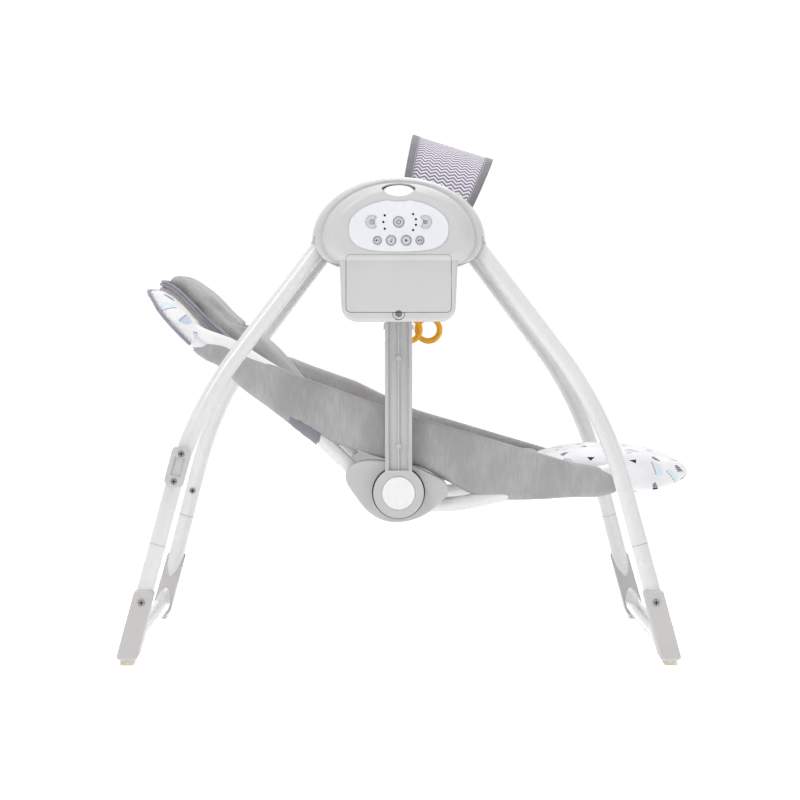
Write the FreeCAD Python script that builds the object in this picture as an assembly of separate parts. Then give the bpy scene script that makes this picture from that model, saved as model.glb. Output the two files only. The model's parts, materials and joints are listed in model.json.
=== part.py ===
"""Baby swing: two splayed leg frames, two housings at the top, and a seat on two swing arms.

Millimetres, +Z up, floor at Z = 0. X runs from the head end (-) to the foot end (+), and the
control side faces -Y. Shapes are built with the swing axis at X = 0 and are moved by AXIS_X
when they are exported, so that the origin lies under the middle of the overall box.
Near means the control side, at -Y, and far parts are its mirror image. "Out" is the distance
from the middle plane, so a near point has Y = -out.
"""
import math
import os

import FreeCAD, Part
from FreeCAD import Vector

os.makedirs("parts", exist_ok=True)

# ---------------------------------------------------------------- driving dimensions
AXIS_X = -16.8            # where the swing axis stands in the part's frame
PIVOT_Z = 560.0           # swing axis above the floor
HUB_Z = 212.0             # recline axis above the floor
SWING_DEG = 14.0          # swing each way that the housings leave room for
FOLD_DEG = 28.0           # how far a leg frame folds

# legs
TUBE_R, TUBE_BORE_R = 11.0, 9.8
SPIGOT_R, SPIGOT_BORE_R = 9.75, 8.6
LEG_CORNER = (265.0, 243.0, 322.0)   # |X|, |Y|, Z where the two straight runs would meet
LEG_UPPER_SLOPE = (0.757, 0.25)      # |X| and |Y| gained per mm of drop, above the bend
LEG_LOWER_SLOPE = (0.265, 0.124)     # the same, below the bend
LEG_BEND_R = 500.0
LEG_TOP_Z, LEG_PIVOT_Z = 548.0, 565.0
LEG_SEAM_Z = 152.0        # seam between a leg tube and its floor frame
SPIGOT_TOP_Z = 215.0
FLOOR_TUBE_Z, FLOOR_BEND_R = 22.0, 46.0
FOOT_CAP_TOP_Z, FOOT_CAP_LOW_Z = 95.0, 7.0
CLIP_Z = 252.0
PIN_R = 4.0
RUNNING = 0.05            # radial clearance of a running fit

# housings, as distances out from the middle plane
BACK_IN, PLATE_IN, PLATE_OUT = 137.0, 166.0, 169.0
RIM_OUT, BULGE_IN, COVER_OUT = 209.4, 199.0, 231.0
NOTCH_OUT = 205.4         # the rim's front lip covers the legs from here outwards
WALL = 3.0
DOME_HALF_W, DOME_TOP_H, DOME_LOW_Z = 111.0, 81.5, 513.0
DOME_SHOULDER_Z, DOME_CORNER_W = 545.0, 31.0
CASE_IN, CASE_OUT = 190.0, 226.5
CASE_HALF_W, CASE_LOW_HALF_W, CASE_LOW_Z, CASE_TOP_Z = 77.0, 74.0, 438.5, 526.0
BAY_HALF_W, BAY_LOW_Z, BAY_TOP_Z = 62.0, 456.0, 516.0
DOOR_HALF_W, DOOR_LOW_Z, DOOR_TOP_Z, DOOR_IN = 68.0, 451.0, 525.5, 223.0
DOOR_SCREW_Z = 449.0
FASCIA_HALF_W, FASCIA_Z, FASCIA_UP, FASCIA_DOWN = 64.6, 560.0, 36.5, 31.0
FASCIA_FULLNESS = 0.78    # its lower half is fuller than an ellipse
FASCIA_IN, FASCIA_OUT = 229.4, 232.0
KEY_OUT = 233.0
BOARD_OUT = 219.0
SCREW_PLACES = ((-55, 604), (55, 604), (-48, 519.5), (48, 519.5))
KEY_ROW_Z, SMALL_KEY_ROW_Z = 567.5, 543.7
CRESCENT_X, CRESCENT_R = 34.4, 8.1      # crescent keys, left and right of the power key
BITE_X, BITE_R = 25.5, 6.4              # the round bite that makes a key a crescent
ROUND_KEYS = {                          # X, Z and radius
    "power_key": (0.0, KEY_ROW_Z, 7.1),
    "volume_down_key": (-27.5, SMALL_KEY_ROW_Z, 5.4),
    "melody_key": (-9.8, SMALL_KEY_ROW_Z, 6.4),
    "play_key": (9.8, SMALL_KEY_ROW_Z, 6.6),
    "volume_up_key": (27.5, SMALL_KEY_ROW_Z, 5.5),
}

# swing arms
ARM_IN, ARM_OUT, ARM_BAR_IN = 145.0, 165.0, 151.0
ARM_HALF_W, ARM_DISC_R, ARM_RING_R = 17.8, 32.0, 33.4
SHAFT_R, BUSH_R = 6.0, 8.5
RECLINE_R = 21.8

# seat
HUB_IN, HUB_OUT = 120.0, 149.5
HUB_BOSS_R = 19.0
SEAT_TUBE_R, SEAT_TUBE_BORE_R, SEAT_TUBE_OUT = 10.0, 8.8, 131.0
WING_IN, WING_OUT = 117.0, 143.0
BASE_HALF_W, LINER_HALF_W = 116.0, 112.0

# toy bar
TOY_AXIS_Z, TOY_TILT = 437.0, 17.4
TOY_RISE, TOY_HALF_SPAN, TOY_BEND_AT = 249.0, 128.0, 105.0
BAND_T = 3.0
TOY_HOOK_BACK = 48.0      # the ribbons hang this far towards the band's head edge
TOY_OUT, TOY_BODY_Z = 36.0, 478.0
CURVE = 0.5523            # handle length that makes a quarter turn round


# ---------------------------------------------------------------- helpers
def export(name, *shapes):
    """Writes one node: one solid, or a group of separate solids."""
    solids = [s for shape in shapes for s in shape.Solids]
    made = Part.makeCompound(solids) if len(solids) > 1 else solids[0]
    made = made.copy()
    made.translate(Vector(AXIS_X, 0, 0))
    if not made.isValid() or made.Volume <= 0:
        print("CHECK", name, "valid", made.isValid(), "volume", made.Volume)
    made.exportStep(f"parts/{name}.step")


def far(shape):
    """The mirror image on the far side."""
    return shape.mirror(Vector(0, 0, 0), Vector(0, 1, 0))


def foot_end(shape):
    """The mirror image of a head-end part at the foot end."""
    return shape.mirror(Vector(0, 0, 0), Vector(1, 0, 0))


def cylinder(start, end, radius):
    a, b = Vector(*start), Vector(*end)
    return Part.makeCylinder(radius, (b - a).Length, a, b - a)


def cross_pin(x, z, out_from, out_to, radius):
    """A near-side cylinder along Y."""
    return cylinder((x, -out_from, z), (x, -out_to, z), radius)


def box(x0, x1, y0, y1, z0, z1):
    return Part.makeBox(x1 - x0, y1 - y0, z1 - z0, Vector(x0, y0, z0))


def near_box(x0, x1, out_from, out_to, z0, z1):
    return box(x0, x1, -out_to, -out_from, z0, z1)


def rounded_path(points, radii):
    """Straight runs through the points, joined by tangent arcs of the given radii."""
    pts = [Vector(*p) for p in points]
    edges, start = [], pts[0]
    for before, corner, after, radius in zip(pts, pts[1:], pts[2:], radii):
        into = (corner - before).normalize()
        out = (after - corner).normalize()
        half = into.getAngle(out) / 2
        setback = radius * math.tan(half)
        a, b = corner - into * setback, corner + out * setback
        inward = (out - into).normalize()
        middle = corner + inward * (radius / math.cos(half) - radius)
        edges.append(Part.LineSegment(start, a).toShape())
        edges.append(Part.Arc(a, middle, b).toShape())
        start = b
    edges.append(Part.LineSegment(start, pts[-1]).toShape())
    return Part.Wire(edges)


def rod(path, radius):
    """A round bar along a path."""
    first = path.Edges[0]
    start = first.valueAt(first.FirstParameter)
    tangent = first.tangentAt(first.FirstParameter)
    circle = Part.Wire([Part.makeCircle(radius, start, tangent)])
    return path.makePipeShell([circle], True, True)


def tube(path, outer, bore):
    return rod(path, outer).cut(rod(path, bore))


def quarter(cx, cz, px, pz, qx, qz, y, k=CURVE):
    """A quarter of an ellipse in a plane of constant Y, from P to Q about C; a larger k is squarer."""
    curve = Part.BezierCurve()
    curve.setPoles([Vector(px, y, pz), Vector(px + k * (qx - cx), y, pz + k * (qz - cz)),
                    Vector(qx + k * (px - cx), y, qz + k * (pz - cz)), Vector(qx, y, qz)])
    return curve.toShape()


def line(x0, z0, x1, z1, y):
    return Part.LineSegment(Vector(x0, y, z0), Vector(x1, y, z1)).toShape()


def oval(cx, cz, half_w, up, down, y, low_k=CURVE):
    """A closed oval in a plane of constant Y, with its own height and fullness below its middle."""
    return Part.Wire([
        quarter(cx, cz, cx + half_w, cz, cx, cz + up, y),
        quarter(cx, cz, cx, cz + up, cx - half_w, cz, y),
        quarter(cx, cz, cx - half_w, cz, cx, cz - down, y, low_k),
        quarter(cx, cz, cx, cz - down, cx + half_w, cz, y, low_k)])


def prism(wire, out_from, out_to):
    """Extrudes a closed wire drawn at Y = -out_from, outwards to out_to."""
    return Part.Face(wire).extrude(Vector(0, out_from - out_to, 0))


def curve_through(points, y, closed=False):
    curve = Part.BSplineCurve()
    curve.interpolate([Vector(x, y, z) for x, z in points], PeriodicFlag=closed)
    return curve.toShape()


def strip(upper, lower, out_from, out_to):
    """Extrudes the area between two smooth (X, Z) lines that run the same way."""
    y = -out_from
    sides = [curve_through(upper, y), curve_through(lower, y)]
    ends = [line(*upper[0], *lower[0], y), line(*upper[-1], *lower[-1], y)]
    wire = Part.Wire(Part.__sortEdges__([sides[0], ends[1], sides[1], ends[0]]))
    return prism(wire, out_from, out_to)


def rounded_plate(x0, x1, z0, z1, radius, out_from, out_to):
    plate = near_box(x0, x1, out_from, out_to, z0, z1)
    edges = [e for e in plate.Edges if abs(e.tangentAt(e.FirstParameter).y) > 0.99]
    return plate.makeFillet(radius, edges)


def leg_point(z):
    """Middle of a near leg at the head end at height z, along its straight runs."""
    cx, cy, cz = LEG_CORNER
    slope_x, slope_y = LEG_UPPER_SLOPE if z > cz else LEG_LOWER_SLOPE
    return (-cx - slope_x * (cz - z), -cy - slope_y * (cz - z), z)


def leg_bar(z_top, z_low, radius):
    return cylinder(leg_point(z_top), leg_point(z_low), radius)


LEG_PIVOT_X = -leg_point(LEG_PIVOT_Z)[0]


# ---------------------------------------------------------------- housings
def dome_outline(scale, low_z, out):
    """A housing's outline: half an ellipse on top, rounded lower corners, flat bottom."""
    y = -out
    mid = DOME_SHOULDER_Z + (1 - scale) * 12
    a, top = DOME_HALF_W * scale, mid + DOME_TOP_H * scale
    corner = a - DOME_CORNER_W * scale
    return Part.Wire([
        quarter(0, mid, a, mid, 0, top, y),
        quarter(0, mid, 0, top, -a, mid, y),
        quarter(-corner, mid, -a, mid, -corner, low_z, y),
        line(-corner, low_z, corner, low_z, y),
        quarter(corner, mid, corner, low_z, a, mid, y)])


def dome_loft(sections):
    return Part.makeLoft([dome_outline(*s) for s in sections], True, False)


def dome(inset):
    """The solid front of a near housing, a rim with a bulge; an inset shrinks it all round."""
    k = inset / DOME_HALF_W
    low = DOME_LOW_Z + inset
    rim = [(0.990 - k, low, PLATE_OUT - (1 if inset else 0)), (1.0 - k, low, 184 - inset),
           (0.998 - k, low, 198 - inset), (0.985 - k, low + 0.4, 205 - inset),
           (0.958 - k, low + 1.2, 208.4 - inset), (0.925 - k, low + 2.5, RIM_OUT - inset)]
    bulge = [(0.905 - k, low + 0.5, BULGE_IN - inset), (0.900 - k, low + 0.6, 208 - inset),
             (0.875 - k, low + 1.4, 217 - inset), (0.820 - k, low + 3.5, 225 - inset),
             (0.750 - k, low + 7.5, 230 - inset), (0.700 - k, low + 10.5, COVER_OUT - inset)]
    return dome_loft(rim).fuse(dome_loft(bulge))


def battery_case():
    """The block on the near cover's front that holds the cells, narrower at the bottom."""
    r, y = 20.0, -CASE_IN
    w0, w1, low, top = CASE_HALF_W, CASE_LOW_HALF_W, CASE_LOW_Z, CASE_TOP_Z
    block = prism(Part.Wire([
        line(-w0, top, -w1, low + r, y),
        quarter(-w1 + r, low + r, -w1, low + r, -w1 + r, low, y),
        line(-w1 + r, low, w1 - r, low, y),
        quarter(w1 - r, low + r, w1 - r, low, w1, low + r, y),
        line(w1, low + r, w0, top, y),
        line(w0, top, -w0, top, y)]), CASE_IN, CASE_OUT)
    front = [e for e in block.Edges
             if e.BoundBox.YMax < -CASE_OUT + 0.01 and e.BoundBox.ZMin < top - 1]
    return block.makeFillet(5.0, front)


def fascia_shape(grow, out_from, out_to):
    """The control panel's outline: an oval with a dip under the fold button."""
    y = -out_from
    edge = oval(0, FASCIA_Z, FASCIA_HALF_W + grow, FASCIA_UP + grow, FASCIA_DOWN + grow, y, FASCIA_FULLNESS)
    plate = prism(edge, out_from, out_to)
    dip = prism(oval(0, 607, 28 - grow, 13 - grow, 13 - grow, y + 1), out_from - 1, out_to + 1)
    return plate.cut(dip)


# the fold button sits on the dome's shoulder and is pressed along this line, into the housing
BUTTON_TILT = math.radians(38)
BUTTON_LINE = Vector(0, -math.cos(BUTTON_TILT), math.sin(BUTTON_TILT))
BUTTON_SEAT = Vector(0, -219.5, 606.0)


def oval_bar(half_w, half_h, low, high):
    """An oval bar along the fold button's line, from low to high beyond the button's seat."""
    bar = Part.makeCylinder(1.0, high - low, Vector(0, 0, low))
    matrix = FreeCAD.Matrix()
    matrix.scale(half_w, half_h, 1.0)
    bar = bar.transformGeometry(matrix)
    bar.Placement = FreeCAD.Placement(BUTTON_SEAT, FreeCAD.Rotation(Vector(0, 0, 1), BUTTON_LINE))
    return bar


def fold_button():
    """Release button for folding the legs, with its plunger and latch bar."""
    cap = oval_bar(21.5, 11.0, -6.0, 3.4)
    rim = max((e for e in cap.Edges if e.Length > 60), key=lambda e: e.CenterOfMass.z)
    cap = cap.makeFillet(2.6, [rim])
    plunger = oval_bar(5.0, 5.0, -22.0, -5.0)
    end = BUTTON_SEAT - BUTTON_LINE * 22
    latch = near_box(-40, 40, -end.y - 3, -end.y + 3, end.z - 5, end.z + 5)
    return cap.fuse(plunger).fuse(latch)


def crescent(side, key_r, bite_r, out_from, out_to):
    """A round bar with a round bite out of the side that faces the power key."""
    disc = cross_pin(CRESCENT_X * side, KEY_ROW_Z, out_from, out_to, key_r)
    return disc.cut(cross_pin(BITE_X * side, KEY_ROW_Z, out_from - 1, out_to + 1, bite_r))


def keys():
    """The panel's buttons: two crescents, a power key and four round keys."""
    inside = BOARD_OUT + 5.5
    made = {"timer_key": crescent(-1, CRESCENT_R, BITE_R, inside, KEY_OUT),
            "speed_key": crescent(1, CRESCENT_R, BITE_R, inside, KEY_OUT)}
    for name, (x, z, r) in ROUND_KEYS.items():
        button = cross_pin(x, z, inside, KEY_OUT, r)
        front = min(button.Edges, key=lambda e: e.BoundBox.YMax)
        made[name] = button.makeFillet(0.5, [front])
    return made


def key_openings():
    """Holes that leave the keys a gap all round."""
    gap = 0.35
    inside, outside = BOARD_OUT + 4.5, KEY_OUT + 2
    holes = [cross_pin(x, z, inside, outside, r + gap) for x, z, r in ROUND_KEYS.values()]
    return holes + [crescent(side, CRESCENT_R + gap, BITE_R - gap, inside, outside) for side in (-1, 1)]


def indicator_lights():
    left = [(-18.0, 576.0), (-19.8, 567.4), (-18.0, 558.8)]
    right = [(18.6, 577.6), (22.3, 570.9), (22.3, 563.7), (18.6, 557.0)]
    return [cross_pin(x, z, FASCIA_IN, FASCIA_OUT + 0.3, 1.5) for x, z in left + right]


def leg_notch(side):
    """Where a leg enters a housing, over its whole fold, behind the rim's front lip."""
    turn0 = math.atan(LEG_UPPER_SLOPE[0])
    turn1 = turn0 - math.radians(FOLD_DEG)
    clear, reach = TUBE_R + 2, 130.0
    px, pz = LEG_PIVOT_X, LEG_PIVOT_Z
    corners = [(px + clear * math.cos(turn0), pz + clear * math.sin(turn0))]
    for turn, sign in ((turn0, 1), (turn1, -1)):
        corners.append((px + reach * math.sin(turn) + sign * clear * math.cos(turn),
                        pz - reach * math.cos(turn) + sign * clear * math.sin(turn)))
    corners.append((px - clear * math.cos(turn1), pz - clear * math.sin(turn1)))
    points = [Vector(side * x, -PLATE_IN, z) for x, z in corners]
    wedge = prism(Part.makePolygon(points + points[:1]), PLATE_IN, NOTCH_OUT)
    return wedge.fuse(cross_pin(side * px, pz, PLATE_IN, 196, 18.5))


def housing_screw_bosses(out_from, out_to, radius):
    return [cross_pin(x, z, out_from, out_to, radius) for x, z in SCREW_PLACES]


def cover(with_battery):
    outside = dome(0)
    if with_battery:
        outside = outside.fuse(battery_case())
    shell = outside.cut(dome(WALL))
    if with_battery:
        back_wall = near_box(-70, 70, CASE_IN, CASE_IN + WALL, 470, CASE_TOP_Z)
        bay_roof = near_box(-70, 70, CASE_IN, 224, BAY_TOP_Z, BAY_TOP_Z + WALL)
        shell = shell.fuse(back_wall).fuse(bay_roof)
    for boss in housing_screw_bosses(PLATE_OUT, 203, 5):
        shell = shell.fuse(boss.common(outside))
    for side in (-1, 1):
        shell = shell.cut(leg_notch(side))
        boss = cross_pin(side * LEG_PIVOT_X, LEG_PIVOT_Z, 197.2, 224, 9).common(outside)
        shell = shell.fuse(boss)
        shell = shell.cut(cross_pin(side * LEG_PIVOT_X, LEG_PIVOT_Z, 190, 204, PIN_R))
    shell = shell.cut(cross_pin(0, PIVOT_Z, PLATE_OUT, CASE_IN - 2, SHAFT_R + 1))
    for hole in housing_screw_bosses(PLATE_OUT - 1, 186, 1.6):
        shell = shell.cut(hole)
    if with_battery:
        shell = shell.cut(near_box(-BAY_HALF_W, BAY_HALF_W, CASE_IN + WALL, COVER_OUT + 9,
                                   BAY_LOW_Z, BAY_TOP_Z))
        shell = shell.cut(rounded_plate(-DOOR_HALF_W - 0.4, DOOR_HALF_W + 0.4, DOOR_LOW_Z - 0.4,
                                        DOOR_TOP_Z + 0.4, 6, DOOR_IN, COVER_OUT + 9))
        shell = shell.cut(cross_pin(0, DOOR_SCREW_Z, DOOR_IN - 9, COVER_OUT, 8.2))
        shell = shell.cut(cross_pin(0, DOOR_SCREW_Z, CASE_IN + 10, COVER_OUT, 1.6))
        shell = shell.cut(fascia_shape(0.3, FASCIA_IN, COVER_OUT + 2))
        for hole in key_openings():
            shell = shell.cut(hole)
    return shell.cut(oval_bar(21.9, 11.4, -9.0, 14.0))


def battery_door():
    """Lift-up door whose face carries on the shape of the case and the dome's lip."""
    outside = dome(0).fuse(battery_case())
    plate = rounded_plate(-DOOR_HALF_W, DOOR_HALF_W, DOOR_LOW_Z, DOOR_TOP_Z, 5.6,
                          DOOR_IN, COVER_OUT + 9).common(outside)
    ear = cross_pin(0, DOOR_SCREW_Z, DOOR_IN - 3.6, CASE_OUT - 0.6, 7.8)
    return plate.fuse(ear).cut(cross_pin(0, DOOR_SCREW_Z, DOOR_IN - 5, COVER_OUT, 4.6))


def door_screw():
    """Captive screw: a sunk cross-head with its shank."""
    head = cross_pin(0, DOOR_SCREW_Z, DOOR_IN - 2.5, DOOR_IN + 1, 4.5)
    for slot in (near_box(-2.8, 2.8, DOOR_IN - 0.6, DOOR_IN + 2, DOOR_SCREW_Z - 0.6, DOOR_SCREW_Z + 0.6),
                 near_box(-0.6, 0.6, DOOR_IN - 0.6, DOOR_IN + 2, DOOR_SCREW_Z - 2.8, DOOR_SCREW_Z + 2.8)):
        head = head.cut(slot)
    return head.fuse(cross_pin(0, DOOR_SCREW_Z, DOOR_IN - 8.5, DOOR_IN - 2.5, 1.5))


def arm_gap():
    """Half the width that an arm needs where it leaves a housing."""
    return ARM_HALF_W + 4 + math.tan(math.radians(SWING_DEG)) * (PIVOT_Z - DOME_LOW_Z)


def housing_back():
    """The shell towards the seat: a tray that the arm hangs out of at the bottom."""
    tray = prism(dome_outline(0.99, DOME_LOW_Z, BACK_IN), BACK_IN, PLATE_IN)
    tray = tray.makeFillet(4.0, [e for e in tray.Edges if e.BoundBox.YMin > -BACK_IN - 0.01])
    hollow = dome_outline(0.963, DOME_LOW_Z + WALL, BACK_IN + WALL)
    tray = tray.cut(prism(hollow, BACK_IN + WALL, PLATE_IN + 1))
    tray = tray.cut(near_box(-arm_gap(), arm_gap(), BACK_IN + WALL, PLATE_IN + 1, 500, 530))
    for boss in housing_screw_bosses(BACK_IN + 1, PLATE_IN, 5):
        tray = tray.fuse(boss)
    tray = tray.fuse(cross_pin(0, PIVOT_Z, BACK_IN + 1, ARM_IN - 0.5, 12))
    tray = tray.cut(cross_pin(0, PIVOT_Z, BACK_IN + 1.5, ARM_IN, SHAFT_R))
    for screw in housing_screws():
        tray = tray.cut(screw)
    return tray


def chassis_plate():
    """Flat steel plate between back and cover that carries the pins."""
    plate = prism(dome_outline(0.985, DOME_LOW_Z + 0.3, PLATE_IN), PLATE_IN, PLATE_OUT)
    plate = plate.cut(cross_pin(0, PIVOT_Z, PLATE_IN - 1, PLATE_OUT + 1, SHAFT_R))
    for side in (-1, 1):
        plate = plate.cut(cross_pin(side * LEG_PIVOT_X, LEG_PIVOT_Z, PLATE_IN - 1, PLATE_OUT + 1, PIN_R))
    for screw in housing_screws():
        plate = plate.cut(screw)
    return plate


def housing_screws():
    return [cross_pin(x, z, BACK_IN + 0.4, BACK_IN + 3.5, 4.0).fuse(
        cross_pin(x, z, BACK_IN + 3.5, 186, 1.6)) for x, z in SCREW_PLACES]


def pivot_pins():
    """Near-side pins: the arm's shaft and two leg pins."""
    shaft = cross_pin(0, PIVOT_Z, BACK_IN + 1.5, CASE_IN - 2, SHAFT_R)
    legs = [cross_pin(side * LEG_PIVOT_X, LEG_PIVOT_Z, PLATE_IN, 204, PIN_R) for side in (-1, 1)]
    return [shaft] + legs


def circuit_board():
    board = near_box(-46, 46, BOARD_OUT - 1.6, BOARD_OUT, 537, 584)
    places = [(x, z) for x, z, _ in ROUND_KEYS.values()]
    places += [(-CRESCENT_X, KEY_ROW_Z), (CRESCENT_X, KEY_ROW_Z)]
    for x, z in places:
        board = board.fuse(near_box(x - 3, x + 3, BOARD_OUT, BOARD_OUT + 4, z - 3, z + 3))
    return board


def speaker():
    cone = Part.makeCone(9, 19, 12, Vector(-28, -196, 548), Vector(0, -1, 0))
    return cone.fuse(cross_pin(-28, 548, 190, 196, 9)).fuse(cross_pin(-28, 548, 208, 210, 19))


def drive_coil():
    """Flat copper coil on the back shell, facing the magnet on the near arm."""
    return cross_pin(0, 601, BACK_IN + WALL, 143.6, 12).cut(cross_pin(0, 601, BACK_IN, 145, 4))


def battery_cells():
    """Four C cells in two rows, each with its raised end contact."""
    cells = []
    for z in (472.2, 499.6):
        for x in (-53, 2.5):
            cell = cylinder((x, -209.5, z), (x + 48.5, -209.5, z), 12.9)
            cells.append(cell.fuse(cylinder((x + 48.5, -209.5, z), (x + 50, -209.5, z), 3.2)))
    return cells


def battery_contacts():
    return [near_box(x - 0.5, x + 0.5, 200, 219, z - 9, z + 9)
            for z in (472.2, 499.6) for x in (-54.5, 54.5)]


# ---------------------------------------------------------------- leg frames, at the head end
def leg_path(z_top, z_low):
    return rounded_path([leg_point(z_top), leg_point(LEG_CORNER[2]), leg_point(z_low)], [LEG_BEND_R])


def leg_screw(z, head_out):
    """A screw across a leg, with its head on the outer (+1) or inner (-1) face."""
    x, y, _ = leg_point(z)
    head = cylinder((x, y - head_out * (TUBE_R - 0.5), z), (x, y - head_out * (TUBE_R + 1.6), z), 4.4)
    shank = cylinder((x, y - head_out * (TUBE_R - 0.5), z), (x, y + head_out * 4, z), 2.0)
    return head.fuse(shank)


def leg_tube():
    path = leg_path(LEG_TOP_Z, LEG_SEAM_Z)
    return tube(path, TUBE_R, TUBE_BORE_R).cut(leg_screw(188, -1))


def floor_frame():
    """One tube: near lower leg, cross bar on the floor, far lower leg, with a spigot at each end."""
    bar = tube(floor_path(), TUBE_R, TUBE_BORE_R)
    spigot = leg_bar(SPIGOT_TOP_Z, LEG_SEAM_Z, SPIGOT_R).fuse(leg_bar(LEG_SEAM_Z, 138, TUBE_BORE_R))
    spigot = spigot.cut(leg_bar(SPIGOT_TOP_Z + 1, 137, SPIGOT_BORE_R))
    bar = bar.fuse(spigot).fuse(far(spigot))
    for screw in (leg_screw(188, -1), foot_screw()):
        bar = bar.cut(screw).cut(far(screw))
    return bar


def pivot_block():
    """Moulded end of a near leg: a disc on the pin, with a socket for the tube."""
    disc = cross_pin(-LEG_PIVOT_X, LEG_PIVOT_Z, 170.0, 195.5, 17.5)
    block = disc.fuse(leg_bar(LEG_PIVOT_Z, 534, TUBE_R + 1.6))
    block = block.cut(leg_bar(LEG_TOP_Z, 500, TUBE_R))
    keep = near_box(-200, 0, 169.6, 212, 500, 600)
    return block.common(keep).cut(cross_pin(-LEG_PIVOT_X, LEG_PIVOT_Z, 160, 215, PIN_R + RUNNING))


def foot_screw():
    x, y, z = leg_point(80)
    head = cylinder((x, y - TUBE_R - 1.6, z), (x, y - TUBE_R - 4.4, z), 4.6)
    return head.fuse(cylinder((x, y - TUBE_R - 1.6, z), (x, y - 3, z), 2.0))


def floor_path():
    """Middle line of a floor frame, from the near seam to the far one."""
    foot, seam = leg_point(FLOOR_TUBE_Z), leg_point(LEG_SEAM_Z)
    points = [seam, foot, (foot[0], -foot[1], foot[2]), (seam[0], -seam[1], seam[2])]
    return rounded_path(points, [FLOOR_BEND_R, FLOOR_BEND_R])


def foot_cap():
    """Plastic channel round the outer side of the foot, open inwards, closed under the bend."""
    top, low = leg_point(FOOT_CAP_TOP_Z), leg_point(FOOT_CAP_LOW_Z)
    half, shell = 13.4, 14.5
    side = [Vector(top[0] - half, -240, top[2]), Vector(top[0] + half, -240, top[2]),
            Vector(low[0] + half, -240, low[2]), Vector(low[0] - half, -240, low[2])]
    slab = Part.Face(Part.makePolygon(side + side[:1])).extrude(Vector(0, -60, 0))
    upright = [e for e in slab.Edges if abs(e.tangentAt(e.FirstParameter).y) > 0.99]
    slab = slab.makeFillet(4.0, upright)
    ends = [(top[1] - shell, top[2]), (low[1] - shell, low[2]), (low[1] + 38, low[2]),
            (low[1] + 34, 30), (top[1] + 8, 62), (top[1], top[2])]
    front = [Vector(-400, y, z) for y, z in ends]
    cap = slab.common(Part.Face(Part.makePolygon(front + front[:1])).extrude(Vector(120, 0, 0)))
    outer = [e for e in cap.Edges if e.BoundBox.YMax < top[1] - shell + 0.1 and e.Length > 60]
    cap = cap.makeFillet(3.0, outer)
    return cap.cut(rod(floor_path(), TUBE_R)).cut(foot_screw())


def rubber_foot():
    x, y, _ = leg_point(FOOT_CAP_LOW_Z)
    pad = box(x - 8, x + 8, y - 9, y + 31, 0, FOOT_CAP_LOW_Z)
    edges = [e for e in pad.Edges if e.BoundBox.ZLength > 5]
    return pad.makeFillet(4.0, edges)


def fold_clip():
    """Saddle clip screwed to the near head-end leg; it holds the folded frames together."""
    x, y, z = leg_point(CLIP_Z)
    plate = box(-12.5, 12.5, -9, 4, -25, 25)
    corner = [e for e in plate.Edges if abs(e.tangentAt(e.FirstParameter).y) > 0.99]
    plate = plate.makeFillet(6.0, corner)
    plate = plate.cut(box(-6.5, 6.5, -10, -7, -12, 12))
    turn = FreeCAD.Rotation(Vector(0, 1, 0), math.degrees(math.atan(LEG_LOWER_SLOPE[0])))
    lean = FreeCAD.Rotation(Vector(1, 0, 0), math.degrees(-math.atan(LEG_LOWER_SLOPE[1])))
    plate.Placement = FreeCAD.Placement(Vector(x, y - TUBE_R, z), turn.multiply(lean))
    plate = plate.cut(leg_bar(310, 190, TUBE_R))
    for screw in clip_screws():
        plate = plate.cut(screw)
    return plate


def clip_screws():
    screws = []
    for z in (CLIP_Z + 17.5, CLIP_Z - 17.5):
        x, y, _ = leg_point(z)
        head = cylinder((x, y - TUBE_R - 7.5, z), (x, y - TUBE_R - 9.8, z), 4.2)
        screws.append(head.fuse(cylinder((x, y - TUBE_R - 7.5, z), (x, y - TUBE_R - 0.2, z), 2.0)))
    return screws


# ---------------------------------------------------------------- swing arms
def swing_arm():
    """Channel-section arm from the shaft down to the recline hub."""
    top = cross_pin(0, PIVOT_Z, ARM_IN, ARM_OUT, ARM_DISC_R)
    bar = near_box(-ARM_HALF_W, ARM_HALF_W, ARM_BAR_IN, ARM_OUT, HUB_Z + 10, PIVOT_Z)
    ring = cross_pin(0, HUB_Z, ARM_IN, ARM_OUT, ARM_RING_R)
    arm = top.fuse(bar).fuse(ring)
    # the channel in the outer face, with a middle rib, two bosses and short side ribs below
    groove = near_box(-13.6, 13.6, ARM_OUT - 5, ARM_OUT + 1, HUB_Z + 30, PIVOT_Z - 46)
    rib = near_box(-1.0, 1.0, ARM_OUT - 6, ARM_OUT - 2, HUB_Z + 20, PIVOT_Z - 40)
    arm = arm.cut(groove.cut(rib))
    for z in (390, 274):
        arm = arm.fuse(cross_pin(0, z, ARM_OUT - 6, ARM_OUT - 1.2, 3.6))
    for side in (-1, 1):
        side_rib = near_box(side * 14 - 0.9, side * 14 + 0.9, ARM_OUT - 2, ARM_OUT + 0.9,
                            HUB_Z + 32, HUB_Z + 62)
        arm = arm.fuse(side_rib)
        ear = near_box(side * 17.8 - 2, side * 17.8 + 2, ARM_BAR_IN + 2, ARM_OUT, 428, 434)
        arm = arm.fuse(ear)
    lever = near_box(-9, 9, 149.5, 161, PIVOT_Z + 20, 610)
    arm = arm.fuse(lever)
    arm = arm.cut(cross_pin(0, PIVOT_Z, ARM_IN - 1, ARM_OUT + 1, BUSH_R))
    arm = arm.cut(cross_pin(0, HUB_Z, ARM_IN - 1, ARM_OUT + 1, HUB_BOSS_R + RUNNING))
    arm = arm.cut(cross_pin(0, HUB_Z, ARM_IN + 5, ARM_OUT + 1, RECLINE_R + 0.4))
    return arm.cut(cross_pin(0, TOY_AXIS_Z, ARM_BAR_IN - 1, ARM_BAR_IN + 6, PIN_R + RUNNING))


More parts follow.
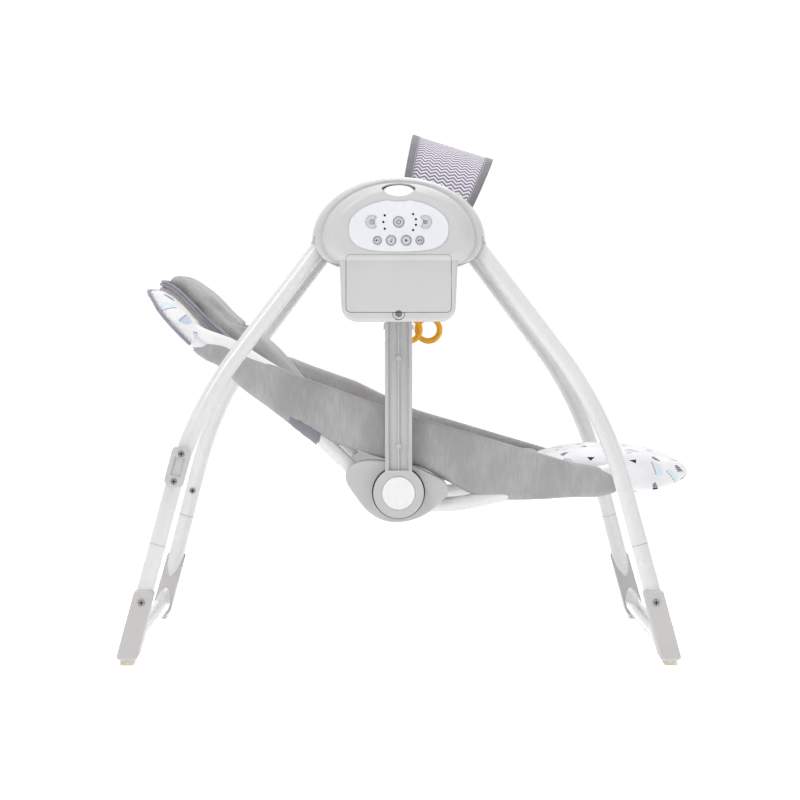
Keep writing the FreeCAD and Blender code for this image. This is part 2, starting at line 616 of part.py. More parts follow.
def arm_bush():
    return cross_pin(0, PIVOT_Z, ARM_IN - 0.3, ARM_OUT + 0.3, BUSH_R).cut(
        cross_pin(0, PIVOT_Z, ARM_IN - 1, ARM_OUT + 1, SHAFT_R + RUNNING))


def recline_button():
    button = cross_pin(0, HUB_Z, ARM_IN + 10, ARM_OUT + 1.5, RECLINE_R)
    front = min(button.Edges, key=lambda e: e.BoundBox.YMax)
    return button.makeFillet(1.4, [front])


# ---------------------------------------------------------------- seat
HUB_OUTLINE = [(-70, 236), (-65, 246), (-48, 253.5), (-10, 252.5), (16, 248.5), (45, 235), (64, 222),
               (66, 212), (58, 201), (38, 184), (18, 175), (0, 172), (-24, 176), (-46, 192), (-61, 212)]

BACK_TUBE = [(-40, 222), (-108, 287.5), (-245, 393), (-316, 463)]
FRONT_TUBE = [(34, 194), (80, 195.5), (285, 239.5), (366, 240.5)]


def hub_outline_prism(grow, out_from, out_to):
    """The eye-shaped plate at the recline hub."""
    cx, cz = 0.0, 213.0
    grown = []
    for x, z in HUB_OUTLINE:
        reach = math.hypot(x - cx, z - cz)
        grown.append((cx + (x - cx) * (reach + grow) / reach, cz + (z - cz) * (reach + grow) / reach))
    return prism(Part.Wire([curve_through(grown, -out_from, closed=True)]), out_from, out_to)


def seat_hub():
    plate = hub_outline_prism(0, HUB_IN, HUB_OUT)
    front = [e for e in plate.Edges if e.BoundBox.YMax < -HUB_OUT + 0.01]
    plate = plate.makeFillet(2.0, front)
    plate = plate.cut(cross_pin(0, HUB_Z, ARM_IN - 1.2, ARM_OUT, ARM_RING_R + 0.5))
    # the arm's bar passes over the plate's upper edge
    plate = plate.cut(near_box(-60, 60, ARM_BAR_IN - 1.2, ARM_OUT, 212, 270))
    boss = cross_pin(0, HUB_Z, ARM_IN - 2, ARM_IN + 4.5, HUB_BOSS_R)
    plate = plate.fuse(boss)
    return plate.cut(rod(back_path(), SEAT_TUBE_R)).cut(rod(front_path(), SEAT_TUBE_R))


def u_path(points, end_radius, bends):
    """A U-shaped path: near side, across the end, far side."""
    near = [(x, -SEAT_TUBE_OUT, z) for x, z in points]
    return rounded_path(near + [(x, -y, z) for x, y, z in reversed(near)],
                        bends + [end_radius, end_radius] + list(reversed(bends)))


def back_path():
    return u_path(BACK_TUBE, 62, [300, 90])


def front_path():
    return u_path(FRONT_TUBE, 75, [150, 90])


def plan_outline(x_head, x_foot, half_w, head_r, foot_r):
    """A tall plate whose plan is rounded at the head and foot ends."""
    block = box(x_head, x_foot, -half_w, half_w, 100, 620)
    for x, radius in ((x_head, head_r), (x_foot, foot_r)):
        corners = [e for e in block.Edges if e.BoundBox.ZLength > 100 and abs(e.CenterOfMass.x - x) < 0.1]
        block = block.makeFillet(radius, corners)
    return block


# middle line of the padded base, head to foot, and its thickness above and below
BASE_LINE = [(-337, 480), (-316, 466), (-296, 445), (-262, 411), (-200, 360), (-140, 319), (-90, 292),
             (-40, 271), (20, 255), (90, 233), (170, 232), (250, 238), (300, 238), (345, 237), (394, 238.5)]
BASE_UP = [6, 12, 15, 15, 12, 11, 11, 11, 11, 11, 14, 27, 26.5, 21, 5]
BASE_DOWN = [6, 12, 13.5, 13.5, 12, 11, 11, 11, 11, 12, 13, 25, 27, 23, 5]


def offset_line(distances):
    """The base's middle line moved sideways; positive distances are upwards."""
    moved = []
    for i, ((x, z), distance) in enumerate(zip(BASE_LINE, distances)):
        a, b = BASE_LINE[max(i - 1, 0)], BASE_LINE[min(i + 1, len(BASE_LINE) - 1)]
        dx, dz = b[0] - a[0], b[1] - a[1]
        n = math.hypot(dx, dz)
        moved.append((x - distance * dz / n, z + distance * dx / n))
    return moved


def layer(low, high, half_w):
    """A layer of padding between two heights above the base's middle line."""
    return strip(offset_line(high), offset_line(low), -half_w, half_w)


def base_pad():
    """Printed padded base over both tube ends, between the side wings."""
    slab = layer([-d for d in BASE_DOWN], BASE_UP, SEAT_TUBE_OUT + 15)
    middle = plan_outline(-345, 395, BASE_HALF_W, 50, 60)
    whole = plan_outline(-345, 395, SEAT_TUBE_OUT + 14, 74, 86)
    head = whole.common(box(-400, -265, -200, 200, 0, 700))
    foot = whole.common(box(297, 450, -200, 200, 0, 700))
    pad = slab.common(middle.fuse(head).fuse(foot))
    pad = pad.cut(rod(back_path(), SEAT_TUBE_R)).cut(rod(front_path(), SEAT_TUBE_R))
    return max(pad.Solids, key=lambda solid: solid.Volume)


# upper and lower edges of a side wing, head to foot
WING_TOP = [(-262, 412), (-245, 412), (-202, 397), (-174, 386), (-132, 368), (-77, 348), (-20, 328),
            (28, 312), (96, 292), (146, 277), (197, 262), (231, 252), (266, 243), (288, 233)]
WING_LOW = [(-262, 401), (-240, 379), (-210, 351), (-179, 328), (-149, 306), (-104, 283), (-50, 265),
            (-21, 256), (28, 245), (67, 224), (96, 209), (136, 201), (180, 201), (231, 205), (288, 214)]


def side_wing():
    """Padded side panel of the near side, stretched over the seat tubes."""
    wing = strip(WING_TOP, WING_LOW, WING_IN, WING_OUT)
    wing = wing.cut(hub_outline_prism(1.0, HUB_IN - 1, HUB_OUT))
    return wing.cut(rod(back_path(), SEAT_TUBE_R)).cut(rod(front_path(), SEAT_TUBE_R))


# heights above the base's middle line, at the same places
PAD_GAP, STRAP_T = 0.4, 1.6
LINER_LOW = [d + PAD_GAP for d in BASE_UP]
LINER_TOP = [20, 27] + [30] * 9 + [28] * 4
PILLOW_TOP = [36, 43, 49, 49, 51, 36] + [34] * 9


def liner():
    """Plush liner that lies on the base."""
    slab = layer(LINER_LOW, LINER_TOP, LINER_HALF_W)
    return slab.common(plan_outline(-323, 205, LINER_HALF_W, 70, 50))


def head_pillow():
    low = [d + PAD_GAP for d in LINER_TOP]
    return layer(low, PILLOW_TOP, 88).common(plan_outline(-318, -128, 88, 60, 40))


def strap(x0, x1, y0, y1):
    """A flat strap lying on the liner."""
    low = [d + PAD_GAP for d in LINER_TOP]
    return layer(low, [d + STRAP_T for d in low], 150).common(box(x0, x1, y0, y1, 0, 600))


def harness_straps():
    """Shoulder straps, crotch strap and waist straps, as far as the buckle."""
    straps = [strap(-118, -24, side * 46 - 11, side * 46 + 11) for side in (-1, 1)]
    straps.append(strap(20, 92, -12, 12))
    straps += [strap(-12, 10, 33, 111), strap(-12, 10, -111, -33)]
    return straps


# the buckle's button is pressed along the padding's normal under it
BUCKLE = Vector(0, 0, 294.0)
BUCKLE_TILT = 14.5


def on_buckle(shape):
    shape.Placement = FreeCAD.Placement(BUCKLE, FreeCAD.Rotation(Vector(0, 1, 0), BUCKLE_TILT))
    return shape


def buckle():
    """Moulded buckle body between the waist straps, with a pocket for its button."""
    body = box(-19, 19, -32, 32, 0, 12)
    body = body.makeFillet(5.0, [e for e in body.Edges if e.BoundBox.ZLength > 5])
    body = body.makeFillet(1.5, [e for e in body.Edges if e.BoundBox.ZMin > 11.9])
    return on_buckle(body.cut(Part.makeCylinder(9.4, 12, Vector(0, 0, 5))))


def buckle_button():
    button = Part.makeCylinder(9.0, 5.4, Vector(0, 0, 8.2))
    top = max(button.Edges, key=lambda e: e.BoundBox.ZMin)
    return on_buckle(button.makeFillet(1.2, [top]))


# ---------------------------------------------------------------- toy bar and toys
def tilted(shape):
    """Leans a shape drawn upright above the toy bar's axis towards the foot end."""
    shape.rotate(Vector(0, 0, TOY_AXIS_Z), Vector(0, 1, 0), TOY_TILT)
    return shape


def arch_prism(grow, half_depth):
    """Upright arch across the seat, solid down to its base, as a bar along X."""
    span, z0 = TOY_HALF_SPAN + grow, TOY_AXIS_Z - 14
    bend, crown = TOY_AXIS_Z + TOY_BEND_AT, TOY_AXIS_Z + TOY_RISE + grow
    k = CURVE

    def curve(*points):
        made = Part.BezierCurve()
        made.setPoles([Vector(-half_depth, y, z) for y, z in points])
        return made.toShape()

    def straight(y0, z0_, y1, z1):
        return Part.LineSegment(Vector(-half_depth, y0, z0_), Vector(-half_depth, y1, z1)).toShape()

    rise = crown - bend
    wire = Part.Wire([
        straight(-span, z0, -span, bend),
        curve((-span, bend), (-span, bend + k * rise), (-k * span, crown), (0, crown)),
        curve((0, crown), (k * span, crown), (span, bend + k * rise), (span, bend)),
        straight(span, bend, span, z0),
        straight(span, z0, -span, z0)])
    return Part.Face(wire).extrude(Vector(2 * half_depth, 0, 0))


def toy_bar():
    """Flexible band that arches over the seat, narrow at its ends, with a pivot boss on each."""
    open_end = box(-70, 70, -140, 140, 400, TOY_AXIS_Z - 13.9)
    band = arch_prism(0, 60).cut(arch_prism(-BAND_T, 62).fuse(open_end))
    # half widths of the band at heights above its pivots
    half_widths = [(15, -15), (17, 30), (31, 100), (48, 180), (57, TOY_RISE + 5)]
    foot_edge = [(w, TOY_AXIS_Z + up) for w, up in half_widths]
    head_edge = [(-w, z) for w, z in foot_edge]
    band = band.common(strip(foot_edge, head_edge, -150, 150))
    boss = cross_pin(0, TOY_AXIS_Z, TOY_HALF_SPAN - BAND_T, ARM_BAR_IN - 0.6, 9)
    pin = cross_pin(0, TOY_AXIS_Z, ARM_BAR_IN - 1, ARM_BAR_IN + 5, PIN_R)
    for end in (boss, pin):
        band = band.fuse(end).fuse(far(end))
    return tilted(band)


def toy_hook():
    """Where the toys' ribbons hang from the underside of the band's crown."""
    tilt = math.radians(TOY_TILT)
    reach = TOY_RISE - BAND_T
    back = TOY_HOOK_BACK
    return (reach * math.sin(tilt) - back * math.cos(tilt),
            TOY_AXIS_Z + reach * math.cos(tilt) + back * math.sin(tilt))


def toys():
    """A plush ball on a ribbon, one each side of the middle."""
    x, z = toy_hook()
    made = []
    for side in (-1, 1):
        y = side * TOY_OUT
        body = Part.makeSphere(25, Vector(x, y, TOY_BODY_Z))
        ribbon = box(x - 5, x + 5, y - 0.8, y + 0.8, TOY_BODY_Z + 20, z - 10)
        made.append(body.fuse(ribbon).cut(toy_rings_at(y)))
    return made


def toy_rings_at(y):
    """Two linked teether loops under one toy, spread towards head and foot."""
    x, _ = toy_hook()
    return Part.makeCompound([
        Part.makeTorus(15.5, 3.4, Vector(x + side * 13.5, y + side * 3.6, 426), Vector(0, 1, 0))
        for side in (-1, 1)])


# ---------------------------------------------------------------- nodes
def make_housings():
    back, plate = housing_back(), chassis_plate()
    export("control_housing_cover", cover(True))
    export("control_housing_back", back)
    export("far_housing_cover", far(cover(False)))
    export("far_housing_back", far(back))
    export("chassis_plates", plate, far(plate))
    pins = pivot_pins()
    export("pivot_pins", *pins, *[far(p) for p in pins])
    screws = housing_screws()
    export("housing_screws", *screws, *[far(s) for s in screws])
    fascia = fascia_shape(0, FASCIA_IN, FASCIA_OUT)
    for hole in key_openings() + indicator_lights():
        fascia = fascia.cut(hole)
    export("control_fascia", fascia)
    export("indicator_lights", *indicator_lights())
    export("circuit_board", circuit_board())
    export("speaker", speaker())
    export("drive_coil", drive_coil())
    export("battery_cells", *battery_cells())
    export("battery_contacts", *battery_contacts())
    export("battery_door", battery_door())
    export("battery_door_screw", door_screw())
    export("near_fold_button", fold_button())
    export("far_fold_button", far(fold_button()))
    for name, key in keys().items():
        export(name, key)


def make_leg_frames():
    leg, block, cap, foot = leg_tube(), pivot_block(), foot_cap(), rubber_foot()
    frame = floor_frame()
    screws = [leg_screw(188, -1), foot_screw()]
    screws += [far(s) for s in screws]
    for end, place in (("rear", lambda s: s), ("front", foot_end)):
        export(f"{end}_leg_near", place(leg))
        export(f"{end}_leg_far", place(far(leg)))
        export(f"{end}_floor_frame", place(frame))
        export(f"{end}_pivot_blocks", place(block), place(far(block)))
        export(f"{end}_foot_caps", place(cap), place(far(cap)))
        export(f"{end}_rubber_feet", place(foot), place(far(foot)))
        extra = clip_screws() if end == "rear" else []
        export(f"{end}_leg_screws", *[place(s) for s in screws], *extra)
    export("fold_clip", fold_clip())


def make_arms():
    arm, bush, button = swing_arm(), arm_bush(), recline_button()
    magnet = cross_pin(0, 601, ARM_IN, 149.5, 8)
    export("swing_arm_near", arm)
    export("swing_arm_far", far(arm))
    export("arm_bushes", bush, far(bush))
    export("arm_magnet", magnet)
    export("near_recline_button", button)
    export("far_recline_button", far(button))


def make_seat():
    hub, wing = seat_hub(), side_wing()
    export("seat_hubs", hub, far(hub))
    export("back_tube", tube(back_path(), SEAT_TUBE_R, SEAT_TUBE_BORE_R))
    export("front_tube", tube(front_path(), SEAT_TUBE_R, SEAT_TUBE_BORE_R))
    export("seat_base_pad", base_pad())
    export("side_wing_near", wing)
    export("side_wing_far", far(wing))
    export("seat_liner", liner())
    export("head_pillow", head_pillow())
    export("harness_straps", *harness_straps())
    export("harness_buckle", buckle())
    export("buckle_button", buckle_button())


def make_toy_bar():
    export("toy_bar", toy_bar())
    export("hanging_toys", *toys())
    export("toy_rings", toy_rings_at(-TOY_OUT), toy_rings_at(TOY_OUT))


make_housings()
make_leg_frames()
make_arms()
make_seat()
make_toy_bar()
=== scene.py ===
import json
import math

import bmesh
import bpy
import numpy as np
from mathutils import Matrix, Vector
from mathutils.bvhtree import BVHTree


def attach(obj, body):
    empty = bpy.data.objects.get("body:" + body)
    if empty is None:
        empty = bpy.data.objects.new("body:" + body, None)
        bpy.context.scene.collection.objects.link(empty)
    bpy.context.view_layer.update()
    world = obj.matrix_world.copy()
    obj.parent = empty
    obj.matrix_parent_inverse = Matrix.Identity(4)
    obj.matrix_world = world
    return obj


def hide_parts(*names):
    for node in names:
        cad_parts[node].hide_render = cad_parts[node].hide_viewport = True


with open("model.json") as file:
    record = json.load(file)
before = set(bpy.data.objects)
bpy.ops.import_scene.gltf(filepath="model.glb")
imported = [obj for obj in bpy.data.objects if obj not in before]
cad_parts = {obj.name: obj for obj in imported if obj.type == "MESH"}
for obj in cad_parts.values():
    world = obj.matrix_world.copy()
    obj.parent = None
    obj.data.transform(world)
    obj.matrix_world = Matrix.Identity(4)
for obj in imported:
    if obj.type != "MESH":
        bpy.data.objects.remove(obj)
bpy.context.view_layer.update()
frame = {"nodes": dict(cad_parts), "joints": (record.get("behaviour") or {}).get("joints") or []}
scene = bpy.context.scene
SHIFT = next(j for j in frame["joints"] if j["name"] == "swing")["pos_m"][0] * 1000   # swing axis, mm


# ---------------------------------------------------------------- camera, floor and light
def look():
    camera = bpy.data.objects.new("camera", bpy.data.cameras.new("camera"))
    scene.collection.objects.link(camera)
    camera.location = (-0.0248, -3.963, 0.468)
    camera.rotation_euler = (math.radians(90 - 2.005), 0, math.radians(-0.149))
    camera.data.lens = 129.8
    camera.data.sensor_width = 36
    camera.data.clip_end = 60
    scene.camera = camera
    scene.view_settings.view_transform = "Standard"


def lamp(name, place, aim, size, watts):
    data = bpy.data.lights.new(name, "AREA")
    data.shape = "DISK"
    data.size = size
    data.energy = watts
    obj = bpy.data.objects.new(name, data)
    scene.collection.objects.link(obj)
    obj.location = place
    obj.rotation_euler = (Vector(aim) - Vector(place)).to_track_quat("-Z", "Y").to_euler()


# ---------------------------------------------------------------- materials
def srgb(r, g, b):
    return tuple(((c / 255 + 0.055) / 1.055) ** 2.4 if c > 10 else c / 255 / 12.92 for c in (r, g, b))


def shade(colour, factor):
    return tuple(min(1.0, c * factor) for c in colour)


RANGE = ("From Min", "From Max", "To Min", "To Max")


class Surface:
    """A node material with short helpers for patterns."""

    def __init__(self, name, colour, roughness=0.5, **values):
        self.material = bpy.data.materials.new(name)
        self.material.use_nodes = True
        self.tree = self.material.node_tree
        self.tree.nodes.clear()
        self.shader = self.node("ShaderNodeBsdfPrincipled")
        output = self.node("ShaderNodeOutputMaterial")
        self.tree.links.new(self.shader.outputs["BSDF"], output.inputs["Surface"])
        self.shader.inputs["Base Color"].default_value = (*colour, 1)
        self.shader.inputs["Roughness"].default_value = roughness
        for key, value in values.items():
            self.shader.inputs[key.replace("_", " ")].default_value = value
        self.material.diffuse_color = (*colour, 1)
        self.coordinates = None

    def node(self, kind, **settings):
        made = self.tree.nodes.new(kind)
        for key, value in settings.items():
            setattr(made, key, value)
        return made

    def feed(self, socket, value):
        if isinstance(value, bpy.types.NodeSocket):
            self.tree.links.new(value, socket)
        else:
            socket.default_value = value

    def place(self):
        if self.coordinates is None:
            self.coordinates = self.node("ShaderNodeTexCoord").outputs["Object"]
        return self.coordinates

    def math(self, operation, a, b=0.0):
        made = self.node("ShaderNodeMath", operation=operation)
        for socket, value in zip(made.inputs, (a, b)):
            self.feed(socket, value)
        return made.outputs[0]

    def times(self, a, b):
        return self.math("MULTIPLY", a, b)

    def plus(self, a, b):
        return self.math("ADD", a, b)

    def noise(self, scale, detail, stretch=None):
        made = self.node("ShaderNodeTexNoise")
        made.inputs["Scale"].default_value = scale
        made.inputs["Detail"].default_value = detail
        vector = self.place()
        if stretch:
            mapping = self.node("ShaderNodeMapping")
            mapping.inputs["Scale"].default_value = stretch
            self.feed(mapping.inputs["Vector"], vector)
            vector = mapping.outputs[0]
        self.feed(made.inputs["Vector"], vector)
        return made.outputs["Fac"]

    def span(self, value, low, high, to_low, to_high):
        made = self.node("ShaderNodeMapRange")
        for name, number in zip(RANGE, (low, high, to_low, to_high)):
            made.inputs[name].default_value = number
        self.feed(made.inputs["Value"], value)
        return made.outputs[0]

    def patches(self, scale, detail, low=0.35, stretch=None):
        """Soft blotches, from 0 to 1."""
        return self.span(self.noise(scale, detail, stretch), low, 1 - low, 0.0, 1.0)

    def mix(self, factor, a, b):
        made = self.node("ShaderNodeMix", data_type="RGBA")
        self.feed(made.inputs[0], factor)
        for socket, colour in ((made.inputs[6], a), (made.inputs[7], b)):
            self.feed(socket, colour if isinstance(colour, bpy.types.NodeSocket) else (*colour, 1))
        return made.outputs[2]

    def colour(self, value):
        self.feed(self.shader.inputs["Base Color"], value)

    def roughness(self, value):
        self.feed(self.shader.inputs["Roughness"], value)

    def bump(self, height, distance, strength=0.6):
        made = self.node("ShaderNodeBump")
        made.inputs["Distance"].default_value = distance
        made.inputs["Strength"].default_value = strength
        self.feed(made.inputs["Height"], height)
        self.feed(self.shader.inputs["Normal"], made.outputs[0])

    def along_cloth(self):
        """The cloth's own two directions, in metres."""
        uv = self.node("ShaderNodeUVMap", uv_map="cloth")
        parts = self.node("ShaderNodeSeparateXYZ")
        self.feed(parts.inputs[0], uv.outputs[0])
        return uv.outputs[0], parts.outputs[0], parts.outputs[1]

    def weave(self, threads, a, b):
        """Height of a plain weave with that many threads a metre."""
        warp = self.math("SINE", self.times(a, threads * math.pi))
        weft = self.math("SINE", self.times(b, threads * math.pi))
        return self.math("ABSOLUTE", self.plus(warp, weft))


def plastic(name, colour, roughness=0.42, grain=0.00004, **values):
    """Moulded plastic: fine spark-eroded grain, faint cloudiness and handling marks."""
    s = Surface(name, colour, roughness, **values)
    s.colour(s.mix(s.patches(7, 3, 0.3), shade(colour, 0.94), shade(colour, 1.03)))
    s.roughness(s.span(s.noise(60, 5, (1, 1, 0.25)), 0.3, 0.7, roughness - 0.06, roughness + 0.08))
    s.bump(s.noise(1500, 2), grain, 0.5)
    return s.material


def enamel(name, colour):
    """Powder-coated steel tube: glossy, with faint orange peel."""
    s = Surface(name, colour, 0.24, Coat_Weight=0.35, Coat_Roughness=0.12)
    s.colour(s.mix(s.patches(11, 2), shade(colour, 0.96), colour))
    s.roughness(s.span(s.noise(35, 4), 0.3, 0.7, 0.2, 0.32))
    s.bump(s.noise(420, 1), 0.00006, 0.35)
    return s.material


def metal(name, colour, roughness=0.3):
    s = Surface(name, colour, roughness, Metallic=1.0)
    brushed = s.noise(900, 3, (1, 1, 12))
    s.colour(s.mix(brushed, shade(colour, 0.85), shade(colour, 1.1)))
    s.roughness(s.span(brushed, 0.3, 0.7, roughness - 0.08, roughness + 0.1))
    s.bump(brushed, 0.00003, 0.4)
    return s.material


def rubber(name, colour):
    s = Surface(name, colour, 0.8)
    scuffs = s.span(s.noise(160, 6), 0.5, 0.62, 0.0, 1.0)
    s.colour(s.mix(scuffs, colour, shade(colour, 0.86)))
    s.bump(s.noise(1100, 3), 0.00012, 0.7)
    return s.material


def plush(name, colour):
    """Short-pile velour: brushed patches, fine pile and a soft sheen."""
    s = Surface(name, colour, 0.95, Sheen_Weight=0.35, Sheen_Roughness=0.45)
    patches = s.patches(24, 4, 0.36, (1, 1, 0.6))
    streaks = s.patches(300, 4, 0.36, (1, 1, 0.14))
    brushed = s.mix(patches, shade(colour, 0.86), shade(colour, 1.1))
    s.colour(s.mix(s.times(streaks, 0.5), brushed, shade(colour, 0.76)))
    s.bump(s.plus(s.noise(1900, 2), s.times(patches, 0.8)), 0.0006, 0.5)
    return s.material


def woven(name, colour, threads=900, contrast=0.82):
    """Plain-woven cloth or tape, drawn along its own directions."""
    s = Surface(name, colour, 0.88, Sheen_Weight=0.15)
    _, a, b = s.along_cloth()
    height = s.weave(threads, a, b)
    base = s.mix(s.patches(40, 3), shade(colour, 0.95), shade(colour, 1.05))
    s.colour(s.mix(s.times(height, 0.3), base, shade(colour, contrast)))
    s.bump(height, 0.00025, 0.6)
    return s.material


def cord_cloth(name, colour):
    """Bias-cut piping cloth and bindings: fine diagonal twill."""
    s = Surface(name, colour, 0.86, Sheen_Weight=0.2)
    twill = s.noise(1300, 2, (1, 1, 0.4))
    base = s.mix(s.patches(70, 3), shade(colour, 0.9), shade(colour, 1.08))
    s.colour(s.mix(s.times(twill, 0.4), base, shade(colour, 0.75)))
    s.bump(twill, 0.0003, 0.6)
    return s.material


def chevron(name, ground, line):
    """Knitted zigzag rows across the toy bar's cover."""
    s = Surface(name, ground, 0.9, Sheen_Weight=0.2)
    _, a, b = s.along_cloth()
    wave = s.math("PINGPONG", a, 0.0062)
    rows = s.math("FRACT", s.math("DIVIDE", s.plus(b, s.times(wave, 0.8)), 0.0062))
    edge = s.span(s.math("ABSOLUTE", s.math("SUBTRACT", rows, 0.5)), 0.21, 0.29, 0.0, 1.0)
    s.colour(s.mix(edge, line, ground))
    s.bump(s.plus(s.weave(1100, a, b), edge), 0.0003, 0.5)
    return s.material


def printed(name, ground):
    """White cotton with a scattered print of half discs, fans, triangles and leaves."""
    s = Surface(name, ground, 0.87, Sheen_Weight=0.1)
    uv, a, b = s.along_cloth()
    cells = s.node("ShaderNodeTexVoronoi", voronoi_dimensions="2D")
    cells.inputs["Scale"].default_value = 1 / 0.03
    cells.inputs["Randomness"].default_value = 0.4
    s.feed(cells.inputs["Vector"], uv)
    pick = s.node("ShaderNodeSeparateColor")
    s.feed(pick.inputs[0], cells.outputs["Color"])
    away = s.node("ShaderNodeVectorMath", operation="SUBTRACT")
    s.feed(away.inputs[0], uv)
    s.feed(away.inputs[1], cells.outputs["Position"])
    turned = s.node("ShaderNodeVectorRotate", rotation_type="Z_AXIS")
    s.feed(turned.inputs["Vector"], away.outputs[0])
    s.feed(turned.inputs["Angle"], s.times(pick.outputs[0], 6.283))
    parts = s.node("ShaderNodeSeparateXYZ")
    s.feed(parts.inputs[0], turned.outputs[0])
    x, y, choice = parts.outputs[0], parts.outputs[1], pick.outputs[1]

    def both(*masks):
        total = masks[0]
        for mask in masks[1:]:
            total = s.times(total, mask)
        return total

    def under(value, limit):
        return s.math("LESS_THAN", value, limit)

    def over(value, limit):
        return s.math("GREATER_THAN", value, limit)

    def reach(u, v):
        return s.math("SQRT", s.plus(s.times(u, u), s.times(v, v)))

    r = reach(x, y)
    black, blue, teal = srgb(28, 26, 40), srgb(150, 178, 214), srgb(40, 92, 100)
    grey, pale = srgb(172, 170, 172), srgb(196, 220, 236)
    # half disc with dots
    half = both(under(choice, 0.2), under(r, 0.0075), over(y, -0.0006))
    dot_x = s.math("SUBTRACT", s.math("PINGPONG", x, 0.0019), 0.00095)
    dot_y = s.math("SUBTRACT", s.math("PINGPONG", y, 0.0019), 0.00095)
    half = both(half, over(reach(dot_x, dot_y), 0.00055))
    # fan of arcs on a row of small triangles
    is_fan = both(over(choice, 0.2), under(choice, 0.45))
    arcs = over(s.math("SINE", s.times(r, 2650)), -0.1)
    fan = both(is_fan, under(r, 0.0125), over(y, 0.0), arcs)
    tooth = s.times(s.math("PINGPONG", x, 0.0015), 1.4)
    teeth = both(is_fan, under(s.math("ABSOLUTE", x), 0.0118), under(y, 0.0),
                 over(s.plus(y, 0.0021), s.math("SUBTRACT", 0.0021, tooth)))
    # triangle
    side = s.plus(s.times(s.math("ABSOLUTE", x), 1.7), y)
    triangle = both(over(choice, 0.45), under(choice, 0.62), under(side, 0.0058), over(y, -0.0035))
    # leaf
    left = reach(s.plus(x, 0.0042), y)
    right = reach(s.math("SUBTRACT", x, 0.0042), y)
    leaf = both(over(choice, 0.62), under(choice, 0.9), under(left, 0.0078), under(right, 0.0078),
                over(s.math("ABSOLUTE", x), 0.00028))
    cloth = s.mix(s.patches(28, 3), shade(ground, 0.95), shade(ground, 1.04))
    cloth = s.mix(half, cloth, black)
    cloth = s.mix(fan, cloth, s.mix(over(pick.outputs[2], 0.6), blue, pale))
    cloth = s.mix(teeth, cloth, s.mix(over(pick.outputs[2], 0.6), black, teal))
    cloth = s.mix(triangle, cloth, s.mix(over(pick.outputs[2], 0.5), grey, black))
    s.colour(s.mix(leaf, cloth, grey))
    s.bump(s.weave(1100, a, b), 0.0002, 0.5)
    return s.material


HOUSING = srgb(197, 197, 197)
WHITE = srgb(228, 228, 229)
PLUSH = srgb(168, 167, 167)
VIOLET = srgb(142, 141, 152)
M = {
    "housing": plastic("housing_plastic", HOUSING, 0.38, Coat_Weight=0.1),
    "arm": plastic("arm_plastic", srgb(189, 188, 188), 0.42),
    "cap": plastic("cap_plastic", srgb(190, 188, 187), 0.45),
    "white": plastic("white_plastic", WHITE, 0.28, 0.00002, Coat_Weight=0.3),
    "panel": plastic("panel_film", srgb(224, 225, 231), 0.3, 0.00001, Coat_Weight=0.2),
    "keys": plastic("key_plastic", srgb(196, 198, 202), 0.4),
    "lens": plastic("dark_lens", srgb(20, 20, 24), 0.2, 0.00001),
    "icon": plastic("icon_ink", srgb(62, 64, 74), 0.5, 0.00001),
    "button_ring": plastic("toy_ring", (0.9, 0.42, 0.002), 0.34, 0.00002),
    "board": plastic("board", srgb(34, 88, 58), 0.5),
    "black": plastic("black_metal", srgb(38, 38, 40), 0.5),
    "copper": metal("copper", srgb(190, 112, 70)),
    "cell": plastic("cell_wrap", srgb(60, 64, 72), 0.35),
    "steel": metal("steel", srgb(150, 148, 146), 0.24),
    "tube": enamel("tube_paint", srgb(216, 216, 217)),
    "rubber": rubber("foot_rubber", srgb(222, 216, 202)),
    "bush": plastic("bush_plastic", srgb(228, 228, 222), 0.5),
    "buckle": plastic("buckle_plastic", srgb(120, 121, 126), 0.4),
    "buckle_button": plastic("buckle_button", srgb(214, 92, 70), 0.38),
    "plush": plush("plush", PLUSH),
    "plush_dark": plush("plush_lining", srgb(158, 157, 156)),
    "white_plush": plush("white_plush", srgb(220, 219, 217)),
    "print": printed("print_cloth", srgb(232, 231, 234)),
    "under": woven("underside_cloth", srgb(132, 131, 140), 700),
    "side_band": woven("side_band_cloth", srgb(190, 184, 180), 900),
    "piping": cord_cloth("piping", VIOLET),
    "binding": cord_cloth("binding", srgb(124, 123, 129)),
    "chevron": chevron("chevron_knit", srgb(226, 222, 231), srgb(118, 112, 130)),
    "webbing": woven("webbing", srgb(206, 205, 204), 620, 0.6),
    "thread": cord_cloth("thread", srgb(236, 236, 236)),
    "ribbon": woven("ribbon", srgb(244, 186, 40), 1200),
    "line": plastic("seam_line", srgb(150, 150, 152), 0.7, 0.00001),
    "dark_line": rubber("seal_rubber", srgb(46, 44, 56)),
}

